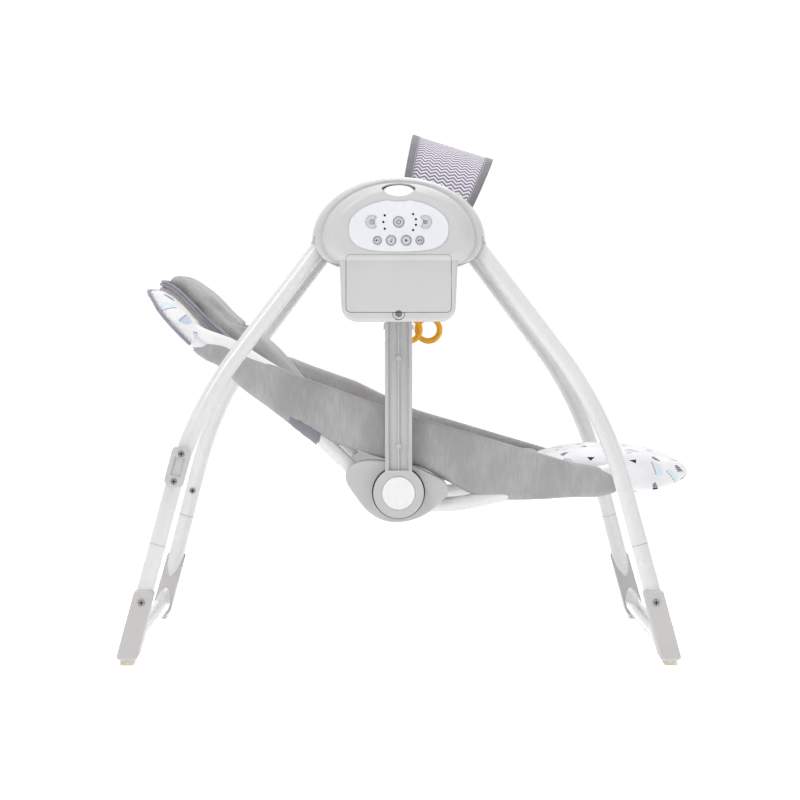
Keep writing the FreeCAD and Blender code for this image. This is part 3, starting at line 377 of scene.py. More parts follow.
NODE_MATERIALS = {
    "housing": ["control_housing_cover", "control_housing_back", "far_housing_cover", "far_housing_back",
                "battery_door"],
    "arm": ["swing_arm_near", "swing_arm_far", "seat_hubs", "toy_bar", "rear_pivot_blocks",
            "front_pivot_blocks", "fold_clip"],
    "cap": ["rear_foot_caps", "front_foot_caps"],
    "panel": ["control_fascia"],
    "white": ["near_fold_button", "far_fold_button", "near_recline_button", "far_recline_button"],
    "keys": ["power_key", "timer_key", "speed_key", "volume_down_key", "volume_up_key", "melody_key",
             "play_key"],
    "lens": ["indicator_lights"],
    "board": ["circuit_board"],
    "black": ["speaker", "arm_magnet"],
    "copper": ["drive_coil", "battery_contacts"],
    "cell": ["battery_cells"],
    "steel": ["chassis_plates", "pivot_pins", "housing_screws", "battery_door_screw", "rear_leg_screws",
              "front_leg_screws"],
    "tube": ["rear_leg_near", "rear_leg_far", "front_leg_near", "front_leg_far", "rear_floor_frame",
             "front_floor_frame", "back_tube", "front_tube"],
    "rubber": ["rear_rubber_feet", "front_rubber_feet"],
    "bush": ["arm_bushes"],
    "buckle": ["harness_buckle"],
    "buckle_button": ["buckle_button"],
    "button_ring": ["toy_rings"],
}


def dress_frame():
    for key, names in NODE_MATERIALS.items():
        for name in names:
            obj = frame["nodes"][name]
            if not obj.material_slots:
                obj.data.materials.append(M[key])
            for slot in obj.material_slots:
                slot.material = M[key]


# ---------------------------------------------------------------- curves and meshes
# Points are in mm. X is measured from the swing axis, Z from the floor.
def at(x, y, z):
    return Vector(((x + SHIFT) / 1000, y / 1000, z / 1000))


def through(stations, values, wanted):
    """Smooth values at the wanted stations, through the given ones."""
    t, v, w = np.asarray(stations, float), np.asarray(values, float), np.asarray(wanted, float)
    if v.ndim == 1:
        return through(t, v[:, None], w)[:, 0]
    slope = np.gradient(v, t, axis=0)
    i = np.clip(np.searchsorted(t, w) - 1, 0, len(t) - 2)
    h = (t[i + 1] - t[i])[:, None]
    u = ((w - t[i]) / h[:, 0])[:, None]
    return ((2 * u**3 - 3 * u**2 + 1) * v[i] + (u**3 - 2 * u**2 + u) * h * slope[i]
            + (3 * u**2 - 2 * u**3) * v[i + 1] + (u**3 - u**2) * h * slope[i + 1])


def lengths(points):
    p = np.asarray(points, float)
    return np.concatenate([[0], np.cumsum(np.linalg.norm(np.diff(p, axis=0), axis=1))])


def smooth(points, count):
    t = lengths(points)
    return through(t, points, np.linspace(0, t[-1], count))


# the base's middle line from head to foot, and at its points the heights above and below it
BASE_LINE = [(-337, 480), (-316, 466), (-296, 445), (-262, 411), (-200, 360), (-140, 319), (-90, 292),
             (-40, 271), (20, 255), (90, 233), (170, 232), (250, 238), (300, 238), (345, 237), (394, 238.5)]
BASE_UP = [6, 12, 15, 15, 12, 11, 11, 11, 11, 11, 14, 27, 26.5, 22, 9]
BASE_DOWN = [6, 12, 13.5, 13.5, 12, 11, 11, 11, 11, 12, 13, 25, 27, 24, 9]
LINER_TOP = [20, 27] + [30] * 8 + [28, 18, 13, 13, 13]
PILLOW_TOP = [36, 43, 49, 49, 51, 36] + [34] * 9
# the wings' edges
WING_TOP = [(-262, 412), (-245, 412), (-202, 397), (-174, 386), (-132, 368), (-77, 348), (-20, 328),
            (28, 312), (96, 292), (146, 277), (197, 262), (231, 252), (266, 243), (288, 233)]
WING_LOW = [(-262, 401), (-240, 379), (-210, 351), (-179, 328), (-149, 306), (-104, 283), (-50, 265),
            (-21, 256), (28, 245), (67, 224), (96, 209), (136, 201), (180, 201), (231, 205), (288, 214)]
LINE = smooth(BASE_LINE, 900)
ALONG = lengths(LINE)
LENGTH = ALONG[-1]
_tangent = np.gradient(LINE, axis=0)
_tangent /= np.linalg.norm(_tangent, axis=1)[:, None]
NORMAL = np.stack([-_tangent[:, 1], _tangent[:, 0]], axis=1)
MARKS = np.interp([p[0] for p in BASE_LINE], LINE[:, 0], ALONG)


def along_at(x):
    """Distance along the base's middle line where its X is x."""
    return float(np.interp(x, LINE[:, 0], ALONG))


def height(values, s):
    return through(MARKS, values, np.atleast_1d(s))


def spot(s, y, h):
    """Points h above the base's middle line, s along it; arrays welcome."""
    s, y, h = np.broadcast_arrays(np.asarray(s, float), np.asarray(y, float), np.asarray(h, float))
    x = np.interp(s, ALONG, LINE[:, 0]) + h * np.interp(s, ALONG, NORMAL[:, 0])
    z = np.interp(s, ALONG, LINE[:, 1]) + h * np.interp(s, ALONG, NORMAL[:, 1])
    return np.stack([x, y, z], axis=-1)


def on_line(points):
    """(s, h) of points in mm: how far along the base's line, and how high above it."""
    flat = points[:, [0, 2]]
    best = np.zeros(len(flat), int)
    for start in range(0, len(flat), 4000):
        block = flat[start:start + 4000]
        distance = ((block[:, None, :] - LINE[None, ::3, :]) ** 2).sum(-1)
        best[start:start + 4000] = distance.argmin(1) * 3
    away = flat - LINE[best]
    return ALONG[best] + (away * _tangent[best]).sum(1), (away * NORMAL[best]).sum(1)


def mesh_object(name, verts, faces, *materials, smooth_faces=True):
    mesh = bpy.data.meshes.new(name)
    mesh.from_pydata([at(*v) for v in verts], [], faces)
    for material in materials:
        mesh.materials.append(material)
    for polygon in mesh.polygons:
        polygon.use_smooth = smooth_faces
    mesh.validate()
    mesh.update()
    obj = bpy.data.objects.new(name, mesh)
    scene.collection.objects.link(obj)
    return obj


BOX_FACES = ((0, 3, 2, 1), (4, 5, 6, 7), (0, 1, 5, 4), (1, 2, 6, 5), (2, 3, 7, 6), (3, 0, 4, 7))


def add_box(verts, faces, corners):
    """Adds a box by its eight corners: four round one end, then the four across from them."""
    start = len(verts)
    verts += [tuple(corner) for corner in corners]
    faces += [tuple(start + k for k in face) for face in BOX_FACES]


def skin_faces(rows, count):
    """Faces over rows of count points, each row closed on itself, with a cap at both ends."""
    faces = []
    for i in range(rows - 1):
        for j in range(count):
            k = (j + 1) % count
            faces.append((i * count + j, i * count + k, (i + 1) * count + k, (i + 1) * count + j))
    return faces + [tuple(reversed(range(count))), tuple(range((rows - 1) * count, rows * count))]


def closed_loft(name, rings, material):
    """A closed skin over rings of equal point counts."""
    verts = [p for ring in rings for p in ring]
    obj = mesh_object(name, verts, skin_faces(len(rings), len(rings[0])), material)
    outward(obj)
    return obj


def turns(count):
    return [2 * math.pi * k / count for k in range(count)]


def squared(value, power):
    """Signed power of a sine or cosine: below 1, it turns a circle towards a square."""
    return math.copysign(abs(value) ** power, value)


def outward(obj, merge=0.0):
    """Turns every face outward, after joining points that lie within merge metres."""
    bm = bmesh.new()
    bm.from_mesh(obj.data)
    if merge:
        bmesh.ops.remove_doubles(bm, verts=bm.verts, dist=merge)
    bmesh.ops.recalc_face_normals(bm, faces=bm.faces)
    bm.to_mesh(obj.data)
    bm.free()


def cord(name, points, radius, material, body, closed=False, sides=10):
    """A round cord along points, carried without twisting."""
    p = [Vector(q) for q in points]
    n = len(p)
    rings = []
    up = None
    for i in range(n):
        before = p[(i - 1) % n] if closed or i else p[i]
        after = p[(i + 1) % n] if closed or i < n - 1 else p[i]
        direction = (after - before).normalized()
        if up is None:
            up = direction.orthogonal().normalized()
        up = (up - direction * up.dot(direction)).normalized()
        side = direction.cross(up)
        rings.append([p[i] + up * radius * math.cos(a) + side * radius * math.sin(a) for a in turns(sides)])
    if closed:
        verts = [v for ring in rings for v in ring]
        faces = []
        for i in range(n):
            m = (i + 1) % n
            offset = 0
            if m == 0:
                gaps = [(rings[-1][0] - rings[0][k]).length for k in range(sides)]
                offset = gaps.index(min(gaps))
            for j in range(sides):
                k = (j + 1) % sides
                faces.append((i * sides + j, i * sides + k, m * sides + (k + offset) % sides,
                              m * sides + (j + offset) % sides))
        obj = mesh_object(name, verts, faces, material)
        outward(obj)
    else:
        for end, inner, place in ((p[0], p[1], 0), (p[-1], p[-2], len(rings) + 1)):
            ring, past = rings[min(place, len(rings) - 1)], (end - inner).normalized() * radius * 0.6
            rings.insert(place, [end + (v - end) * 0.25 + past for v in ring])
        obj = closed_loft(name, rings, material)
    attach(obj, body)
    return obj


# ---------------------------------------------------------------- padded pieces
def points_mm(obj):
    co = np.zeros(len(obj.data.vertices) * 3)
    obj.data.vertices.foreach_get("co", co)
    return co.reshape(-1, 3) * 1000 - np.array([SHIFT, 0, 0])


def set_points_mm(obj, points):
    obj.data.vertices.foreach_set("co", ((points + np.array([SHIFT, 0, 0])) / 1000).ravel())
    obj.data.update()


def bake_modifiers(obj):
    depsgraph = bpy.context.evaluated_depsgraph_get()
    made = bpy.data.meshes.new_from_object(obj.evaluated_get(depsgraph))
    obj.modifiers.clear()
    old = obj.data
    obj.data = made
    made.name = obj.name
    bpy.data.meshes.remove(old)


STIFFNESS, CLOTH_FRAMES = 12.0, 20


def puff(obj, voxel, pressure, cap, held=None):
    """Fills a closed skin: remesh, blow it up as cloth, limit the swell, then round it once.
    held gives a weight for each point from its place in mm; 1 stays where it is."""
    remesh = obj.modifiers.new("Remesh", "REMESH")
    remesh.mode = "VOXEL"
    remesh.voxel_size = voxel / 1000
    remesh.use_smooth_shade = True
    bake_modifiers(obj)
    start = points_mm(obj)
    weights = held(start) if held else np.zeros(len(start))
    group = obj.vertex_groups.new(name="seam")
    for value in (1.0, 0.85):
        chosen = np.nonzero(weights >= value if value == 1.0 else (weights < 1.0) & (weights > 0.5))[0]
        group.add([int(i) for i in chosen], value, "REPLACE")
    cloth = obj.modifiers.new("Cloth", "CLOTH")
    settings = cloth.settings
    settings.quality = 4
    settings.mass = 0.25
    settings.tension_stiffness = settings.compression_stiffness = STIFFNESS
    settings.shear_stiffness = STIFFNESS * 0.4
    settings.bending_stiffness = 0.6
    settings.use_pressure = True
    settings.uniform_pressure_force = pressure
    settings.effector_weights.gravity = 0
    settings.vertex_group_mass = "seam"
    cloth.collision_settings.use_collision = False
    cloth.point_cache.frame_start = 1
    cloth.point_cache.frame_end = CLOTH_FRAMES
    for frame_number in range(1, CLOTH_FRAMES + 1):
        scene.frame_set(frame_number)
    step = points_mm(obj.evaluated_get(bpy.context.evaluated_depsgraph_get())) - start
    far = np.linalg.norm(step, axis=1)
    step *= (np.minimum(far, cap) / np.maximum(far, 1e-9))[:, None]
    obj.modifiers.clear()
    obj.vertex_groups.clear()
    scene.frame_set(1)
    set_points_mm(obj, start + step)
    finer = obj.modifiers.new("Round", "SUBSURF")
    finer.levels = finer.render_levels = 1
    bake_modifiers(obj)
    for polygon in obj.data.polygons:
        polygon.use_smooth = True


def crease(obj, distance_to_seam, depth, width):
    """Pulls the skin in along a seam, by a soft groove."""
    p = points_mm(obj)
    normals = np.zeros(len(p) * 3)
    obj.data.vertices.foreach_get("normal", normals)
    pull = depth * np.exp(-(distance_to_seam(p) / width) ** 2)
    set_points_mm(obj, p - normals.reshape(-1, 3) * pull[:, None])


def second_cloth(obj, chosen, material):
    """Gives the faces whose corners are all chosen a second material."""
    obj.data.materials.append(material)
    for polygon in obj.data.polygons:
        if all(chosen[v] for v in polygon.vertices):
            polygon.material_index = 1


def cloth_map(obj, flat):
    """Gives the mesh its cloth directions: flat turns points in mm into two lengths in mm."""
    layer = obj.data.uv_layers.new(name="cloth")
    uv = flat(points_mm(obj)) / 1000
    corners = np.zeros(len(obj.data.loops), int)
    obj.data.loops.foreach_get("vertex_index", corners)
    layer.data.foreach_set("uv", uv[corners].ravel())


def rounded_ends(s, s0, s1, head_r, foot_r, half_w):
    """Half width at s of a slab with rounded corners in plan."""
    head, foot = np.clip(head_r - (s - s0), 0, head_r), np.clip(foot_r - (s1 - s), 0, foot_r)
    lost = head_r - np.sqrt(head_r**2 - head**2) + foot_r - np.sqrt(foot_r**2 - foot**2)
    return half_w - lost


END_ROUND = 10.0          # how far in from its ends a slab is rounded, mm


def slab(name, s0, s1, half_w, low, high, head_r, foot_r, material, crown=0.0, hollow=0.0, seam=0.5,
         full=1.0):
    """A padded slab along the base's line. half_w, low and high are functions of s; seam says where
    its widest line lies between low and high, and a larger full squares its sides."""
    ends = [0, 0.6, 2, 4, 7, 11, 16, 22]
    middle = np.arange(s0 + 28, s1 - 27, 6)
    stations = np.concatenate([s0 + np.array(ends), middle, s1 - np.array(ends[::-1])])
    rings = []
    for s in stations:
        bottom, top = float(low(s)), float(high(s))
        widest = bottom + (top - bottom) * seam
        reach = (top - bottom) * max(seam, 1 - seam)
        end = min(s - s0, s1 - s, END_ROUND)
        fall = math.sqrt(max(0.0, 1 - (1 - end / END_ROUND) ** 2))
        w = float(rounded_ends(s, s0, s1, head_r, foot_r, half_w(s)))
        side_w = min(reach, w * 0.5)
        ring = []
        for side in (1, -1):
            for a in np.linspace(-math.pi / 2, math.pi / 2, 11):
                out = abs(math.cos(a)) ** (1 / full)
                up = squared(math.sin(a), 1 / full) * side
                tall = (top - widest) if up > 0 else (widest - bottom)
                ring.append((side * (w - side_w + side_w * out), widest + tall * fall * up))
            flat = top if side > 0 else bottom
            across = np.linspace(side * (w - side_w), -side * (w - side_w), 21)[1:-1]
            ring += [(y, widest + (flat - widest) * fall) for y in across]
        shaped = []
        for y, h in ring:
            t = 1 - (y / w) ** 2
            lift = (crown * t - hollow * t**4) * fall if h > widest + 0.1 else 0
            shaped.append(spot(s, y, h + lift).tolist())
        rings.append(shaped)
    return closed_loft(name, rings, material)


def base_half_width(s):
    x = np.interp(s, ALONG, LINE[:, 0])
    head = np.clip((-x - 252) / 16, 0, 1)
    foot = np.clip((x - 282) / 14, 0, 1)
    wide = np.maximum(head * head * (3 - 2 * head), foot * foot * (3 - 2 * foot))
    return 114 + 30 * wide


BASE_S0, BASE_S1, BASE_HEAD_R, BASE_FOOT_R = 1.0, LENGTH - 1, 74, 86
SEAM_PART = 0.06


def base_seam_height(s):
    """The piped seam runs low along the sides and rises to mid height at both ends."""
    end = np.minimum(np.asarray(s) - BASE_S0, BASE_S1 - np.asarray(s))
    part = SEAM_PART + (0.5 - SEAM_PART) * np.clip(1 - end / 34, 0, 1) ** 2
    low, high = -height(BASE_DOWN, s) + 0.3, height(BASE_UP, s) - 1.2
    return low + (high - low) * part


def base_plan(s):
    return rounded_ends(s, BASE_S0, BASE_S1, BASE_HEAD_R, BASE_FOOT_R, base_half_width(s))


def make_base():
    """Printed shell with a darker underside; its widest line is the piped seam."""
    def low(s):
        top, bottom = height(BASE_UP, s)[0] - 1.2, -height(BASE_DOWN, s)[0] + 0.3
        seam = float(base_seam_height(s)[0])
        return max(bottom, seam - (top - seam) * SEAM_PART / (1 - SEAM_PART) - 6)

    def high(s):
        return height(BASE_UP, s)[0] - 1.2

    base = slab("printed_base", BASE_S0, BASE_S1, base_half_width, low, high, BASE_HEAD_R, BASE_FOOT_R,
                M["print"], seam=SEAM_PART, full=1.6)

    def seam(p):
        s, h = on_line(p)
        return np.hypot(np.maximum(base_plan(s) - np.abs(p[:, 1]), 0), h - base_seam_height(s))

    puff(base, 6.0, 3.0, 4.5, lambda p: (seam(p) < 4.5).astype(float))
    s, h = on_line(points_mm(base))
    second_cloth(base, h < base_seam_height(s) - 1.0, M["under"])

    def flat(p):
        s, h = on_line(p)
        return np.stack([s, p[:, 1] + np.sign(p[:, 1]) * (height(BASE_UP, s) - h)], axis=1)

    cloth_map(base, flat)
    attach(base, "seat")
    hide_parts("seat_base_pad")


def mirrored_run(near):
    """Carries a near-side run across the middle and back along the far side."""
    x, y, z = near[-1]
    across = [(x, v, z) for v in np.linspace(y, -y, 16)[1:-1]]
    return near + across + [(a, -b, c) for a, b, c in reversed(near)]


def make_base_piping():
    """Piping round the head end, as far as the wings."""
    near = []
    for s in np.linspace(along_at(-268), BASE_S0 + 0.4, 44):
        near.append(spot(s, -float(base_plan(s)) - 0.4, base_seam_height(s)[0]).tolist())
    cord("base_piping", mirrored_run(near), 2.3, M["piping"], "seat")


def make_wing():
    """Padded side panel: rolled along its top, with a blunt foot end."""
    top = smooth([(-273, 404), (-259, 410)] + WING_TOP[1:-2] + [(262, 247), (283, 240), (292, 226)], 96)
    low = smooth([(-273, 399), (-258, 388)] + WING_LOW[1:-2] + [(232, 204), (268, 205), (291, 211)], 96)
    rings = []
    for i in range(96):
        a, b = np.array(low[i]), np.array(top[i])
        tall = np.linalg.norm(b - a)
        along = (b - a) / tall
        end = min(i, 95 - i)
        full = min(1.0, 0.5 + end / 5) if end < 3 else 1.0
        ring = []
        for t in turns(32):
            v = 0.5 + 0.5 * squared(math.sin(t), 0.55)
            y = -130 + (13.2 + 0.3 * v) * full * squared(math.cos(t), 0.45)
            point = a + along * ((tall - 1.0) * v)
            ring.append((point[0], y, point[1]))
        rings.append(ring)
    wing = closed_loft("wing_near", rings, M["plush"])

    def held(p):
        low_z = np.interp(p[:, 0], low[:, 0], low[:, 1])
        top_z = np.interp(p[:, 0], top[:, 0], top[:, 1])
        near_hub = (p[:, 0] > -75) & (p[:, 0] < 80) & (p[:, 2] < low_z + 9)
        edge = (p[:, 2] < low_z + 3.5) | ((p[:, 2] > top_z - 3) & (np.abs(p[:, 1] + 138) < 3))
        return (near_hub | edge).astype(float)

    puff(wing, 4.6, 3.2, 4.0, held)
    return wing


def wing_flat(p):
    return np.stack([p[:, 0], p[:, 2] + p[:, 1]], axis=1)


def make_wings():
    """The far wing is the near one mirrored, its slack upper edge standing a little higher."""
    near = make_wing()
    far = mesh_object("wing_far", [], [], M["plush"])
    copied = near.data.copy()
    far.data = copied
    copied.name = "wing_far"
    p = points_mm(far)
    p[:, 1] *= -1
    rise = np.interp(p[:, 0], [-200, -150, -60, 20], [0, 11, 12, 0])
    low_z = np.interp(p[:, 0], *np.array(WING_LOW, float).T)
    top_z = np.interp(p[:, 0], *np.array(WING_TOP, float).T)
    p[:, 2] += rise * np.clip((p[:, 2] - low_z) / (top_z - low_z), 0, 1) ** 2
    set_points_mm(far, p)
    far.data.flip_normals()
    for obj, node in ((near, "side_wing_near"), (far, "side_wing_far")):
        cloth_map(obj, wing_flat)
        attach(obj, "seat")
        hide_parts(node)


PRINT_TOP = [(-274, 438), (-253, 427), (-235, 421), (-216, 413), (-196, 401), (-176, 388), (-157, 377),
             (-132, 366)]
PRINT_LOW = [(-274, 420), (-253, 404), (-235, 398), (-216, 390), (-196, 378), (-176, 366), (-157, 358),
             (-132, 350)]


def make_print_shoulders():
    """The printed shell's upper edge, which stands up inside each wing near the head."""
    top, low = smooth(PRINT_TOP, 48), smooth(PRINT_LOW, 48)
    for side, name in ((-1, "near"), (1, "far")):
        rings = []
        for i in range(48):
            ring = []
            full = min(1.0, 0.35 + min(i, 47 - i) / 5)
            for t in turns(20):
                v = 0.5 + 0.5 * squared(math.sin(t), 0.6)
                y = 129 + (11.0 + 2.2 * (1 - i / 47)) * full * squared(math.cos(t), 0.6)
                point = low[i] + (top[i] - low[i]) * v
                ring.append((point[0], side * y, point[1]))
            rings.append(ring)
        obj = closed_loft(f"print_shoulder_{name}", rings, M["print"])
        puff(obj, 4.5, 2.5, 3.0)
        cloth_map(obj, lambda p: np.stack([p[:, 0] * 1.3, p[:, 2] + np.abs(p[:, 1])], axis=1))
        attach(obj, "seat")


LINER_S0, LINER_S1 = along_at(-330), along_at(206)
CHANNELS = [along_at(x) for x in (-128, -82, 62, 112, 160)]


def liner_half_width(s):
    return 110 + 0 * s


def liner_low(s):
    return height(BASE_UP, s)[0] - 3.5


def liner_seams(p):
    s, h = on_line(p)
    y = np.abs(p[:, 1])
    across = np.min([np.abs(s - c) for c in CHANNELS], axis=0) + np.maximum(y - 84, 0) * 3
    border = np.abs(y - 84) + np.maximum(LINER_S0 + 60 - s, 0) + np.maximum(s - LINER_S1 + 30, 0)
    return np.where(h > liner_low(s) + 9, np.minimum(across, border), 99)


def make_liner():
    """Plush liner with sewn channels, over a plain side band."""
    high = lambda s: height(LINER_TOP, s)[0] - 2.6
    liner = slab("plush_liner", LINER_S0, LINER_S1, liner_half_width, liner_low, high, 70, 50, M["plush"],
                 full=1.5)

    def held(p):
        seam = liner_seams(p)
        buckle = (np.abs(p[:, 0]) < 26) & (np.abs(p[:, 1]) < 38)
        return ((seam < 3.2) | buckle).astype(float)

    puff(liner, 5.2, 4.0, 5.0, held)
    crease(liner, liner_seams, 1.6, 3.0)
    s, h = on_line(points_mm(liner))
    second_cloth(liner, h < height(LINER_TOP, s) - 7.0, M["side_band"])
    cloth_map(liner, lambda p: np.stack([on_line(p)[0], p[:, 1] + on_line(p)[1]], axis=1))
    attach(liner, "seat")
    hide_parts("seat_liner")
    return liner


def ring_round(s0, s1, head_r, foot_r, half_w, lift, count=90):
    """Closed path round a slab's plan; lift gives its height at s."""
    near = []
    for s in np.linspace(s0 + 1, s1 - 1, count):
        w = float(rounded_ends(s, s0, s1, head_r, foot_r, half_w))
        near.append(spot(s, -w, lift(s)).tolist())
    head = [(near[0][0], y, near[0][2]) for y in np.linspace(-near[0][1], near[0][1], 18)[1:-1]]
    return mirrored_run(near) + head


def make_liner_piping():
    """Two cords side by side round the liner's upper edge."""
    for index, (drop, radius) in enumerate(((3.4, 2.1), (7.4, 2.1))):
        path = ring_round(LINER_S0, LINER_S1, 70, 50, 110 + radius * 0.6,
                          lambda s: max(height(LINER_TOP, s)[0] - drop, liner_low(s) + 2))
        cord(f"liner_piping_{index + 1}", path, radius, M["piping"], "seat", closed=True)


def make_pillow():
    """Head cushion in two halves, sewn down along its middle."""
    s0, s1 = along_at(-328), along_at(-140)
    low = lambda s: height(LINER_TOP, s)[0] - 3.2
    high = lambda s: max(height(PILLOW_TOP, s)[0] - 4.0, height(LINER_TOP, s)[0] + 5)
    pillow = slab("head_pillow_pad", s0, s1, lambda s: 98 + 0 * s, low, high, 62, 42, M["plush"], 1.5, 3.0,
                  seam=0.35, full=1.5)
    middle = (s0 + s1) / 2 - 4

    def seam(p):
        s, h = on_line(p)
        outside = np.maximum(np.abs(p[:, 1]) - 66, 0) * 2 + np.where(h > height(LINER_TOP, s) + 8, 0, 50)
        return np.abs(s - middle) + outside

    puff(pillow, 4.8, 4.0, 6.0, lambda p: (seam(p) < 3).astype(float))
    crease(pillow, seam, 2.5, 3.5)
    cloth_map(pillow, lambda p: np.stack([on_line(p)[0], p[:, 1]], axis=1))
    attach(pillow, "seat")
    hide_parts("head_pillow")


# ---------------------------------------------------------------- harness
def tree_of(obj):
    points = [v.co.copy() for v in obj.data.vertices]
    return BVHTree.FromPolygons(points, [tuple(p.vertices) for p in obj.data.polygons])


def ribbon(name, centres, sides, ups, width, thick, material, body, bulge=0.15):
    """A flat strap along centres, with its edges slightly rounded."""
    rings = []
    length = [0.0]
    for i in range(1, len(centres)):
        length.append(length[-1] + (Vector(centres[i]) - Vector(centres[i - 1])).length)
    profile = []
    for k in range(9):
        profile.append((width * (k / 8 - 0.5), thick / 2 * (1 + bulge * (1 - (k / 4 - 1) ** 2))))
    outline = [(a, b) for a, b in profile] + [(a, -thick / 2) for a, _ in reversed(profile)]
    for centre, side, up in zip(centres, sides, ups):
        rings.append([tuple(Vector(centre) + Vector(side) * a + Vector(up) * b) for a, b in outline])
    strap = closed_loft(name, rings, material)
    count = len(outline)
    layer = strap.data.uv_layers.new(name="cloth")
    for loop in strap.data.loops:
        ring, k = divmod(loop.vertex_index, count)
        layer.data[loop.index].uv = (outline[k][0] / 1000, length[min(ring, len(length) - 1)] / 1000)
    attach(strap, body)
    return strap


THREAD = 0.32             # half a stitch's width, and its height, mm


# a stitch's corners: lengthwise, across and up, in halves of its size
STITCH = [(-1, -1, 0), (1, -1, 0), (1, 1, 0), (-1, 1, 0),
          (-0.5, -0.3, 1), (0.5, -0.3, 1), (0.5, 0.3, 1), (-0.5, 0.3, 1)]


def stitches(name, centres, sides, ups, offsets, body, lift=0.95, step=3.2, long=2.0):
    """Rows of small raised stitches, one object."""
    verts, faces = [], []
    c = [Vector(p) for p in centres]
    total = [0.0]
    for i in range(1, len(c)):
        total.append(total[-1] + (c[i] - c[i - 1]).length)
    count = int(total[-1] // step)
    for n in range(count):
        d = (n + 0.5) * step
        i = max(j for j in range(len(total) - 1) if total[j] <= d)
        t = (d - total[i]) / (total[i + 1] - total[i])
        middle = c[i].lerp(c[i + 1], t)
        side, up = Vector(sides[i]), Vector(ups[i])
        ahead = (c[i + 1] - c[i]).normalized()
        for offset in offsets:
            o = middle + side * offset + up * lift
            add_box(verts, faces, [o + ahead * a * long / 2 + side * b * THREAD + up * h * THREAD
                                   for a, b, h in STITCH])
    obj = mesh_object(name, verts, faces, M["thread"])
    outward(obj)
    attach(obj, body)


def make_harness(liner):
    tree = tree_of(liner)

    def lay(s, y, lift):
        """A point lift above the liner's surface."""
        top, low = spot(s, y, 70), spot(s, y, -20)
        origin = at(*top)
        hit = tree.ray_cast(origin, (at(*low) - origin).normalized())[0]
        if hit is None:
            return spot(s, y, 30.6 + lift)
        place = np.array(hit) * 1000 - np.array([SHIFT, 0, 0])
        up = (top - low) / np.linalg.norm(top - low)
        return place + up * lift

    def up_at(s):
        n = spot(s, 0, 1) - spot(s, 0, 0)
        return tuple(n / np.linalg.norm(n))

    def smoothed(points):
        p = np.array(points)
        for _ in range(3):
            p[1:-1] = (p[:-2] + 2 * p[1:-1] + p[2:]) / 4
        return p.tolist()

    for side, name in ((-1, "near"), (1, "far")):
        ss = np.linspace(along_at(-136), along_at(-27), 34)
        ys = side * (50 - 22 * (np.clip((ss - ss[0]) / (ss[-1] - ss[0]), 0, 1)) ** 1.5)
        sag = np.where(ss - ss[0] < 7, -3.5, 1.1)
        path = smoothed([lay(s, y, a).tolist() for s, y, a in zip(ss, ys, sag)])
        sides, ups = [(0, 1, 0)] * len(path), [up_at(s) for s in ss]
        strap = ribbon(f"shoulder_strap_{name}", path, sides, ups, 20, 1.5, M["webbing"], "seat")
        stitches(f"shoulder_stitch_{name}", path[5:], sides[5:], ups[5:], (-8, 8), "seat")
        pad = np.array(path)[6:24]
        cover = ribbon(f"shoulder_pad_{name}", pad.tolist(), sides[6:24], ups[6:24], 34, 5.6,
                       M["plush_dark"], "seat", 0.5)
        finer = cover.modifiers.new("Round", "SUBSURF")
        finer.levels = finer.render_levels = 1
        bake_modifiers(cover)
        across_y = np.linspace(31, 106, 26) * side
        path = smoothed([lay(along_at(-4), y, 1.1 if abs(y) < 101 else -2.5).tolist() for y in across_y])
        path[0][2] += 3.0
        up = up_at(along_at(-4))
        forward = tuple(Vector(up).cross(Vector((0, side, 0))))
        ribbon(f"waist_strap_{name}", path, [forward] * 26, [up] * 26, 20, 1.5, M["webbing"],
                             "seat")
        stitches(f"waist_stitch_{name}", path, [forward] * 26, [up] * 26, (-8, 8), "seat")
        slider = np.array(path)[12]
        buckle_slider(f"waist_slider_{name}", slider + np.array(up) * 1.2, forward, (0, side, 0), up)
    ss = np.linspace(along_at(17), along_at(88), 22)
    path = smoothed([lay(s, 0, 1.1 if k < 20 else -2.5).tolist() for k, s in enumerate(ss)])
    path[0][2] += 2.0
    ups = [up_at(s) for s in ss]
    ribbon("crotch_strap", path, [(0, 1, 0)] * 22, ups, 24, 1.6, M["webbing"], "seat")
    stitches("crotch_stitch", path, [(0, 1, 0)] * 22, ups, (-10, 10), "seat", lift=1.0)
    for name, x, y, wide in (("crotch", 87, 0, 34), ("shoulder_near", -133, -50, 30),
                             ("shoulder_far", -133, 50, 30)):
        slot_edge(f"{name}_slot", lay, along_at(x), y, wide, 7)
    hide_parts("harness_straps")


def slot_edge(name, lay, s, y, wide, deep):
    """Bound buttonhole in the liner where a strap goes through."""
    ring = []
    for a in turns(40):
        place = lay(s + deep * squared(math.sin(a), 0.8), y + wide / 2 * squared(math.cos(a), 0.5), 0.3)
        ring.append(place.tolist())
    cord(name, ring, 1.3, M["piping"], "seat", closed=True, sides=8)


def buckle_slider(name, place, forward, across, up):
    """Three-bar webbing slider."""
    f, a, u = Vector(forward), Vector(across), Vector(up)
    o = Vector(place.tolist())
    verts, faces = [], []
    bars = [(-13.5, 13.5, 6, 8.5), (-13.5, 13.5, -8.5, -6), (-13.5, 13.5, -1.2, 1.2),
            (-13.5, -11.3, -8.5, 8.5), (11.3, 13.5, -8.5, 8.5)]
    for x0, x1, y0, y1 in bars:
        corners = []
        for z, n in ((0.2, 0.0), (2.4, 0.35)):
            for x, y in ((x0 + n, y0 + n), (x1 - n, y0 + n), (x1 - n, y1 - n), (x0 + n, y1 - n)):
                corners.append(o + f * x + a * y + u * z)
        add_box(verts, faces, corners)
    obj = mesh_object(name, verts, faces, M["buckle"], smooth_faces=False)
    outward(obj)
    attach(obj, "seat")


